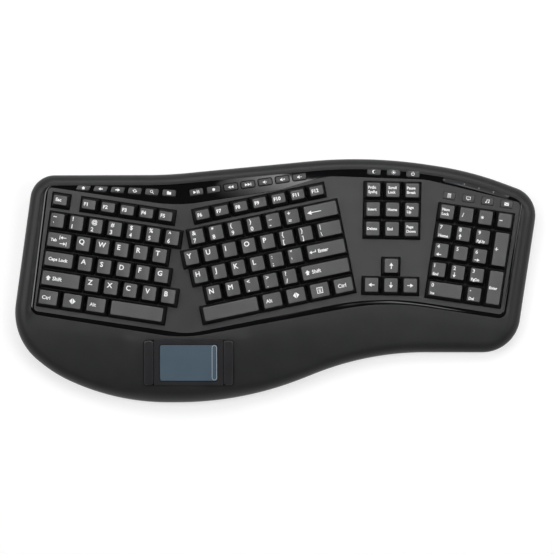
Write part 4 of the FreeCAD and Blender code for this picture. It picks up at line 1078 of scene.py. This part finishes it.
def domeMesh(size):
    # the outside and inside profiles turned about the dome's axis, each closed by a flat roof
    profile = np.array(domeShape["outside"] + domeShape["inside"]) * (size, 1)
    ray = rayAt(np.radians(np.arange(domeShape["sides"]) * 360 / domeShape["sides"]))
    points = np.concatenate([atHeight(ray * r, z) for r, z in profile])
    side, ring = domeShape["sides"], np.arange(domeShape["sides"])
    outer, inner = len(domeShape["outside"]), len(domeShape["inside"])
    faces = gridFaces(outer, side, closed=True).tolist()
    faces += gridFaces(inner, side, outer * side, closed=True).tolist()
    faces += between(ring, ring + (outer + inner - 1) * side).tolist()   # the foot
    faces += [(ring + (outer - 1) * side).tolist(), (ring + outer * side)[::-1].tolist()]
    return points, faces


def makeDomes():
    depth = domeShape["depth"]
    places = {node: [(zones[zone], along, up) for zone, along, up, *_ in caps] for node, caps in keys.items()}
    places.update(buttons)
    for node, spots in places.items():
        small = node in buttons
        flat, faces = domeMesh(domeShape["small"] if small else 1)
        group = [(inFrame(spot, flat + (along, up, -depth)), faces) for spot, along, up in spots]
        piece = putMesh(node + "_domes", *joined(group), [siliconeGrey], "case", sharp=domeShape["sharp"],
                        slot="silicone")
        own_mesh(piece)
    work = mergedWork(nodes["dome_sheet"].data)   # the sheet without its own domes, each hole filled flat
    level = layout["deckDrop"] + depth - domeShape["cutAbove"]
    high = [v for v in work.verts if v.co.z * 1000 > deckHeight(v.co.x * 1000, v.co.y * 1000) - level]
    bmesh.ops.delete(work, geom=high, context="VERTS")
    bmesh.ops.holes_fill(work, edges=[e for e in work.edges if e.is_boundary], sides=0)
    mesh = wholeMesh("dome_sheet_base", work, siliconeGrey)
    sheet = placed("dome_sheet_base", mesh)
    shadeByAngle(mesh, copyShape["sharpAngle"])
    settle(sheet, nodes["dome_sheet"]["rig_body"], ["dome_sheet"])
    return len(high)


print("domes made in place of", makeDomes(), "points")

# trim ring
trimShape = {
    "slack": 0.15, "thickness": 1.8, "edge": 0.25, "outerEdge": 0.1, "edgeTurns": (0, 30, 60), "crown": 0.1,
    "across": 6, "edgeMost": 0.3, "steps": (3.5, 6), "deckSteps": (0.8, 3), "sharp": 40,
}


def makeTrim():
    # a band with rounded edges carried round the trim's outline; its top falls to both sides by the
    # crown times the square of the distance from the middle, as a share of half the width
    size = trimShape
    outer, normal = outline(moved(trimCorners), *size["steps"])
    outer = outer - normal * size["slack"]
    deckLine, deckNormal = outline(moved(deckCorners), *size["deckSteps"])
    deckLine = deckLine + deckNormal * size["slack"]
    inner, _ = castOut(outer, -normal, deckLine, deckNormal)
    width = np.linalg.norm(outer - inner, axis=1)
    inward = (inner - outer) / width[:, None]
    edge, outerEdge = np.minimum(size["edge"], width * size["edgeMost"]), size["outerEdge"]
    rows = []

    def row(distance, drop):
        place = outer + inward * np.reshape(distance, (-1, 1))
        top = deckHeight(*place.T) - layout["deckDrop"] - layout["trimDrop"]
        rows.append(atHeight(place, top - drop))

    ones = np.ones(len(outer))
    row(0 * ones, size["thickness"])
    for degrees in size["edgeTurns"]:
        rising, falling = roundOff(degrees)
        row(outerEdge * rising * ones, size["crown"] + outerEdge * falling)
    for share in np.linspace(0, 1, size["across"]):
        row(outerEdge + (width - outerEdge - edge) * share, size["crown"] * (2 * share - 1) ** 2)
    for degrees in size["edgeTurns"][::-1]:
        rising, falling = roundOff(degrees)
        row(width - edge * rising, size["crown"] + edge * falling)
    row(width, size["thickness"])
    faces = gridFaces(len(rows), len(outer), closed=True, wrap=True)
    trim = putMesh("trim_band", np.concatenate(rows), faces, [pianoBlack], "case", ["gloss_trim"],
                   slot="piano_black")
    cutters = []
    slot = buttonShape["slot"]
    for node in ("keys_browser", "keys_media", "keys_power"):
        for i, (spot, _, _) in enumerate(buttons[node]):
            long, deep, _, radius, slant = buttonSize(node, i)
            flat, polygons = prism(roundRect(long / 2 + slot, deep / 2 + slot, radius + slot),
                                   *buttonShape["slotDepths"])
            flat[:, 0] += slant * flat[:, 1]
            cutters.append((inFrame(spot, flat), polygons))
    cutters.append(prism(windowLine(windowShape["slot"])[::-1], *windowShape["slotHeights"]))
    carve(trim, tool(cutters))
    shadeByAngle(trim.data, size["sharp"])
    keepFlat(trim)
    return trim


# the strip of the lock lights: wide is its own width and slot that of its slot, and its top and foot lie
# so far below the deck's plane
windowShape = {
    "points": ((167, 99.6), (200, 91.4), (227, 83.6)), "wide": 5.2, "slot": 6.2, "slotHeights": (0, 70),
    "edge": 0.3, "top": 0.4, "foot": 1.6, "steps": 24, "endSteps": 8, "sharp": 60,
}
windowArc = [np.array(p) - shift for p in windowShape["points"]]


def windowPath():
    # the circle through three points, as centre, radius and the angles of its two ends
    (ax, ay), (bx, by), (cx, cy) = windowArc
    d = 2 * (ax * (by - cy) + bx * (cy - ay) + cx * (ay - by))
    a2, b2, c2 = ax * ax + ay * ay, bx * bx + by * by, cx * cx + cy * cy
    centre = np.array(((a2 * (by - cy) + b2 * (cy - ay) + c2 * (ay - by)) / d,
                       (a2 * (cx - bx) + b2 * (ax - cx) + c2 * (bx - ax)) / d))
    spokes = [p - centre for p in windowArc]
    return centre, np.linalg.norm(spokes[0]), [math.atan2(*s[::-1]) for s in (spokes[0], spokes[2])]


def windowLine(width):
    # both sides of the curved strip, joined by half circles
    centre, radius, (start, stop) = windowPath()
    half = width / 2
    ray = rayAt(np.linspace(start, stop, windowShape["steps"]))
    outer, inner = centre + ray * (radius + half), centre + ray[::-1] * (radius - half)
    caps = []
    for end, way in ((ray[-1], 1), (ray[0], -1)):
        forward = np.array((end[1], -end[0]))   # along the strip, clockwise
        turn = np.radians(np.linspace(0, 180, windowShape["endSteps"])[1:-1])[:, None]
        caps.append(centre + end * radius + way * half * (np.cos(turn) * end + np.sin(turn) * forward))
    return np.concatenate((outer, caps[0], inner, caps[1]))


trim = makeTrim()
print("trim made:", len(trim.data.polygons), "faces")


def makeWindow():
    # a strip in its slot: the outline filled between a rounded top edge and its lower face
    edge, wide, top = windowShape["edge"], windowShape["wide"], windowShape["top"]
    line, inset = windowLine(wide), windowLine(wide - 2 * edge)
    rows = []   # 0.3 is one less the sine of 45 degrees
    for places, drop in ((line, windowShape["foot"]), (line, top + edge),
                         (windowLine(wide - 0.6 * edge), top + 0.3 * edge), (inset, top)):
        rows.append(atHeight(places, deckHeight(*places.T) - layout["deckDrop"] - drop))
    count = len(line)
    faces = gridFaces(4, count, closed=True)[:, ::-1].tolist()
    faces.append(list(range(3 * count, 4 * count))[::-1])
    faces.append(list(range(count)))
    putMesh("lock_lights_window", np.concatenate(rows), faces, [windowDark], "case", ["led_window"],
            windowShape["sharp"], slot="window_dark")


makeWindow()
# where the three marks stand, as shares of the way along the strip
lampShape = {"shares": (0.305, 0.545, 0.785), "raise": 0.03, "sink": 0.2}


def makeLamps():
    # three small signs for the locks, printed along the strip's middle line
    centre, radius, (start, stop) = windowPath()
    marks = [[np.array(arc(0.9, 0, 360)) * (0.8, 1)], [[(-1, -0.9), (0, 1.1), (1, -0.9)]],
             [np.array(arrow(2.6, 1.3, 2.0, 0.7)[0])[:, ::-1]]]
    parts = []
    for share, mark in zip(lampShape["shares"], marks):
        angle = start + (stop - start) * share
        flat, faces = sign(mark, *(centre + radius * np.array((math.cos(angle), math.sin(angle)))),
                           math.degrees(angle) - 90)
        top = deckHeight(*flat[:, :2].T) - layout["deckDrop"] - windowShape["top"]
        flat[:, 2] = top + np.where(flat[:, 2] > 0.5, lampShape["raise"], -lampShape["sink"])
        parts.append((flat, faces))
    putMesh("lock_lights", *joined(parts), [lampGrey], "case", sharp=markSharp, slot="legend_white")


# half sizes, corner radius, width of the line, height of the surface and middle in the touchpad's frame
printShape = {
    "scroll_line": {"half": (2.45, 17.4), "corner": 2.44, "line": 0.4, "top": 0.3, "centre": (25.35, 0),
                    "finish": lineGrey, "slot": "legend_white"},
    # the border is a near-black ring round the pad's edge, painted shade
    "border": {"half": (29.2, 18.9), "corner": 3.2, "line": 1.05, "top": 0.6, "centre": (0, 0),
               "finish": paintedShadeBlack, "slot": "bezel_black"},
}


def makePrint(name, size, rise=0.03, sink=0.15, leastCorner=0.3, steps=8):
    # a thin closed ring on the touchpad, a rounded outline with a narrower one inside it: the scroll line is
    # print and the border is painted shade
    (halfX, halfY), line, top = size["half"], size["line"], size["top"]
    outer = roundRect(halfX, halfY, size["corner"], steps, size["centre"])
    innerCorner = max(size["corner"] - line, leastCorner)
    inner = roundRect(halfX - line, halfY - line, innerCorner, steps, size["centre"])
    rings = [atHeight(ring, z) for ring, z in (
        (outer, top - sink), (outer, top + rise), (inner, top + rise), (inner, top - sink))]
    faces = gridFaces(4, len(outer), closed=True, wrap=True)
    putMesh("touchpad_" + name, inFrame(touch, np.concatenate(rings)), faces, [size["finish"]], "case",
            sharp=markSharp, slot=size["slot"])


makeLamps()
for name, size in printShape.items():
    makePrint(name, size)
print("window and prints made")

# nodes whose own shape is finished with rounded edges: node, finish and the edge's size
wellDepth = 0.45   # faces of the deck that lie deeper than this get near-black painted shade
for node, material, bevel in (
        ("key_deck", deckGrey, 0.3), ("bottom_case", trayBlack, 0.35), ("touchpad_bezel", bezelBlack, 0.35),
        ("touchpad", padSlate, 0.25), ("rubber_feet", footRubber, 0.5), ("tilt_foot_left", trayBlack, 0.3),
        ("tilt_foot_right", trayBlack, 0.3), ("battery_door", trayBlack, 0.3),
        ("power_switch", innerBlack, 0.25), ("case_screws", plateSteel, 0.12)):
    wellShade = None
    if node == "key_deck":
        wellShade = paintedShadeBlack, lambda x, y: deckHeight(x, y) - layout["deckDrop"] - wellDepth
    roundedCopy(node, material, bevel, lower=wellShade)
print("node finishes made")

# camera, light and floor
view = {"elevation": 88.5, "distance": 3.9, "aim": (0.00156, 0.0035, 0.026), "pictureWidth": 0.5443,
        "sensor": 36, "clip": (0.01, 50)}
camera = placed("camera", bpy.data.cameras.new("camera"))
tilt = math.radians(view["elevation"])
back = Vector((0, -math.cos(tilt), math.sin(tilt)))
camera.location = Vector(view["aim"]) + back * view["distance"]
camera.rotation_euler = (-back).to_track_quat("-Z", "Y").to_euler()
camera.data.sensor_width = view["sensor"]
camera.data.lens = view["sensor"] * view["distance"] / view["pictureWidth"]
camera.data.clip_start, camera.data.clip_end = view["clip"]
bpy.context.scene.camera = camera

# place, size and power; a card lies flat, is turned by some degrees and fades across as a power
softboxes = {
    "rearBox": {"at": (0.0, 1.4, 1.65), "size": (2.2, 0.8), "power": 28},
    "leftBox": {"at": (-1.4, 0.2, 1.65), "size": (0.7, 1.6), "power": 18},
    "rightBox": {"at": (1.4, 0.2, 1.65), "size": (0.7, 1.6), "power": 17},
    "trimCard": {"at": (0.053, 0.0522, 0.46), "size": (0.11, 0.09), "power": 0.2, "turn": 130, "fade": 1.6},
    "trimCardRight": {"at": (0.1753, -0.0733, 0.46), "size": (0.1, 0.056), "power": 0.1, "turn": 122,
                      "fade": 1.5},
}


def fadeCard(lamp, power):
    # the card's strength grows from one long edge to the other as a power of the distance
    lamp.use_nodes = True
    tree = lamp.node_tree
    add, join = tree.nodes.new, tree.links.new
    place, across = add("ShaderNodeNewGeometry"), add("ShaderNodeSeparateXYZ")
    join(place.outputs["Parametric"], across.inputs[0])
    join(mathNode(tree, "POWER", across.outputs["Y"], power), tree.nodes["Emission"].inputs["Strength"])


for name, box in softboxes.items():
    lamp = bpy.data.lights.new(name, "AREA")
    lamp.shape, lamp.size, lamp.size_y, lamp.energy = "RECTANGLE", *box["size"], box["power"]
    light = placed(name, lamp)
    light.location = box["at"]
    aim = Vector((0, 0, 1)) if "turn" in box else Vector(box["at"])
    light.rotation_euler = aim.to_track_quat("Z", "Y").to_euler()
    light.rotation_euler.z += math.radians(box.get("turn", 0))
    light.visible_camera = False
    if "fade" in box:
        fadeCard(lamp, box["fade"])

# gloss sees white up to one height and the dark ceiling from another; the light all round is for the rest
studio = {"whiteTo": 0.15, "darkFrom": 0.45, "ceiling": 0.04, "allRound": 0.12, "floor": 0.42, "glow": 0.62,
          "reach": 6}


def emptyTree(owner):
    # an empty node tree, and its ways to add and to join
    owner.use_nodes = True
    owner.node_tree.nodes.clear()
    return owner.node_tree, owner.node_tree.nodes.new, owner.node_tree.links.new


def makeWorld():
    # the light all round, which gloss and glass see as white walls under a dark ceiling
    world = bpy.data.worlds.new("studio")
    bpy.context.scene.world = world
    _, add, join = emptyTree(world)
    path, place = add("ShaderNodeLightPath"), add("ShaderNodeTexCoord")
    height = add("ShaderNodeSeparateXYZ")
    glow, out = add("ShaderNodeBackground"), add("ShaderNodeOutputWorld")
    join(place.outputs["Generated"], height.inputs[0])
    ceiling = add("ShaderNodeMapRange")   # what gloss and glass show
    for name, value in (("From Min", studio["whiteTo"]), ("From Max", studio["darkFrom"]), ("To Min", 1.0),
                        ("To Max", studio["ceiling"])):
        ceiling.inputs[name].default_value = value
    join(height.outputs["Z"], ceiling.inputs["Value"])
    level = studio["allRound"]
    for ray, seen in (("Is Glossy Ray", ceiling), ("Is Transmission Ray", ceiling), ("Is Camera Ray", 1.0)):
        pick = add("ShaderNodeMix")
        join(path.outputs[ray], pick.inputs[0])
        for socket, value in ((pick.inputs[2], level), (pick.inputs[3], seen)):
            if isinstance(value, float):
                socket.default_value = value
            else:
                join(value.outputs[0], socket)
        level = pick
    join(level.outputs[0], glow.inputs["Strength"])
    join(glow.outputs[0], out.inputs[0])


def makeFloor():
    # a pale floor that takes shadows and adds an even glow of its own
    mesh = bpy.data.meshes.new("floor")
    reach = studio["reach"]
    mesh.from_pydata([(-reach, -reach, 0), (reach, -reach, 0), (reach, reach, 0), (-reach, reach, 0)], [],
                     [(0, 1, 2, 3)])
    floor = placed("floor", mesh)
    material = bpy.data.materials.new("floorPale")
    tree, add, join = emptyTree(material)
    path, sheen, glow = add("ShaderNodeLightPath"), add("ShaderNodeBsdfDiffuse"), add("ShaderNodeEmission")
    both, out = add("ShaderNodeAddShader"), add("ShaderNodeOutputMaterial")
    sheen.inputs["Color"].default_value = (*[studio["floor"]] * 3, 1)
    eye, gloss, glass = [path.outputs["Is %s Ray" % kind] for kind in ("Camera", "Glossy", "Transmission")]
    level = mathNode(tree, "ADD", mathNode(tree, "ADD", eye, gloss), glass)   # white for all three
    level.node.use_clamp = True
    glow.inputs["Color"].default_value = (*[studio["glow"]] * 3, 1)
    join(level, glow.inputs["Strength"])
    join(sheen.outputs[0], both.inputs[0])
    join(glow.outputs[0], both.inputs[1])
    join(both.outputs[0], out.inputs["Surface"])
    mesh.materials.append(material)


makeWorld()
makeFloor()
bpy.context.scene.view_settings.view_transform = "Standard"

print("scene ready")
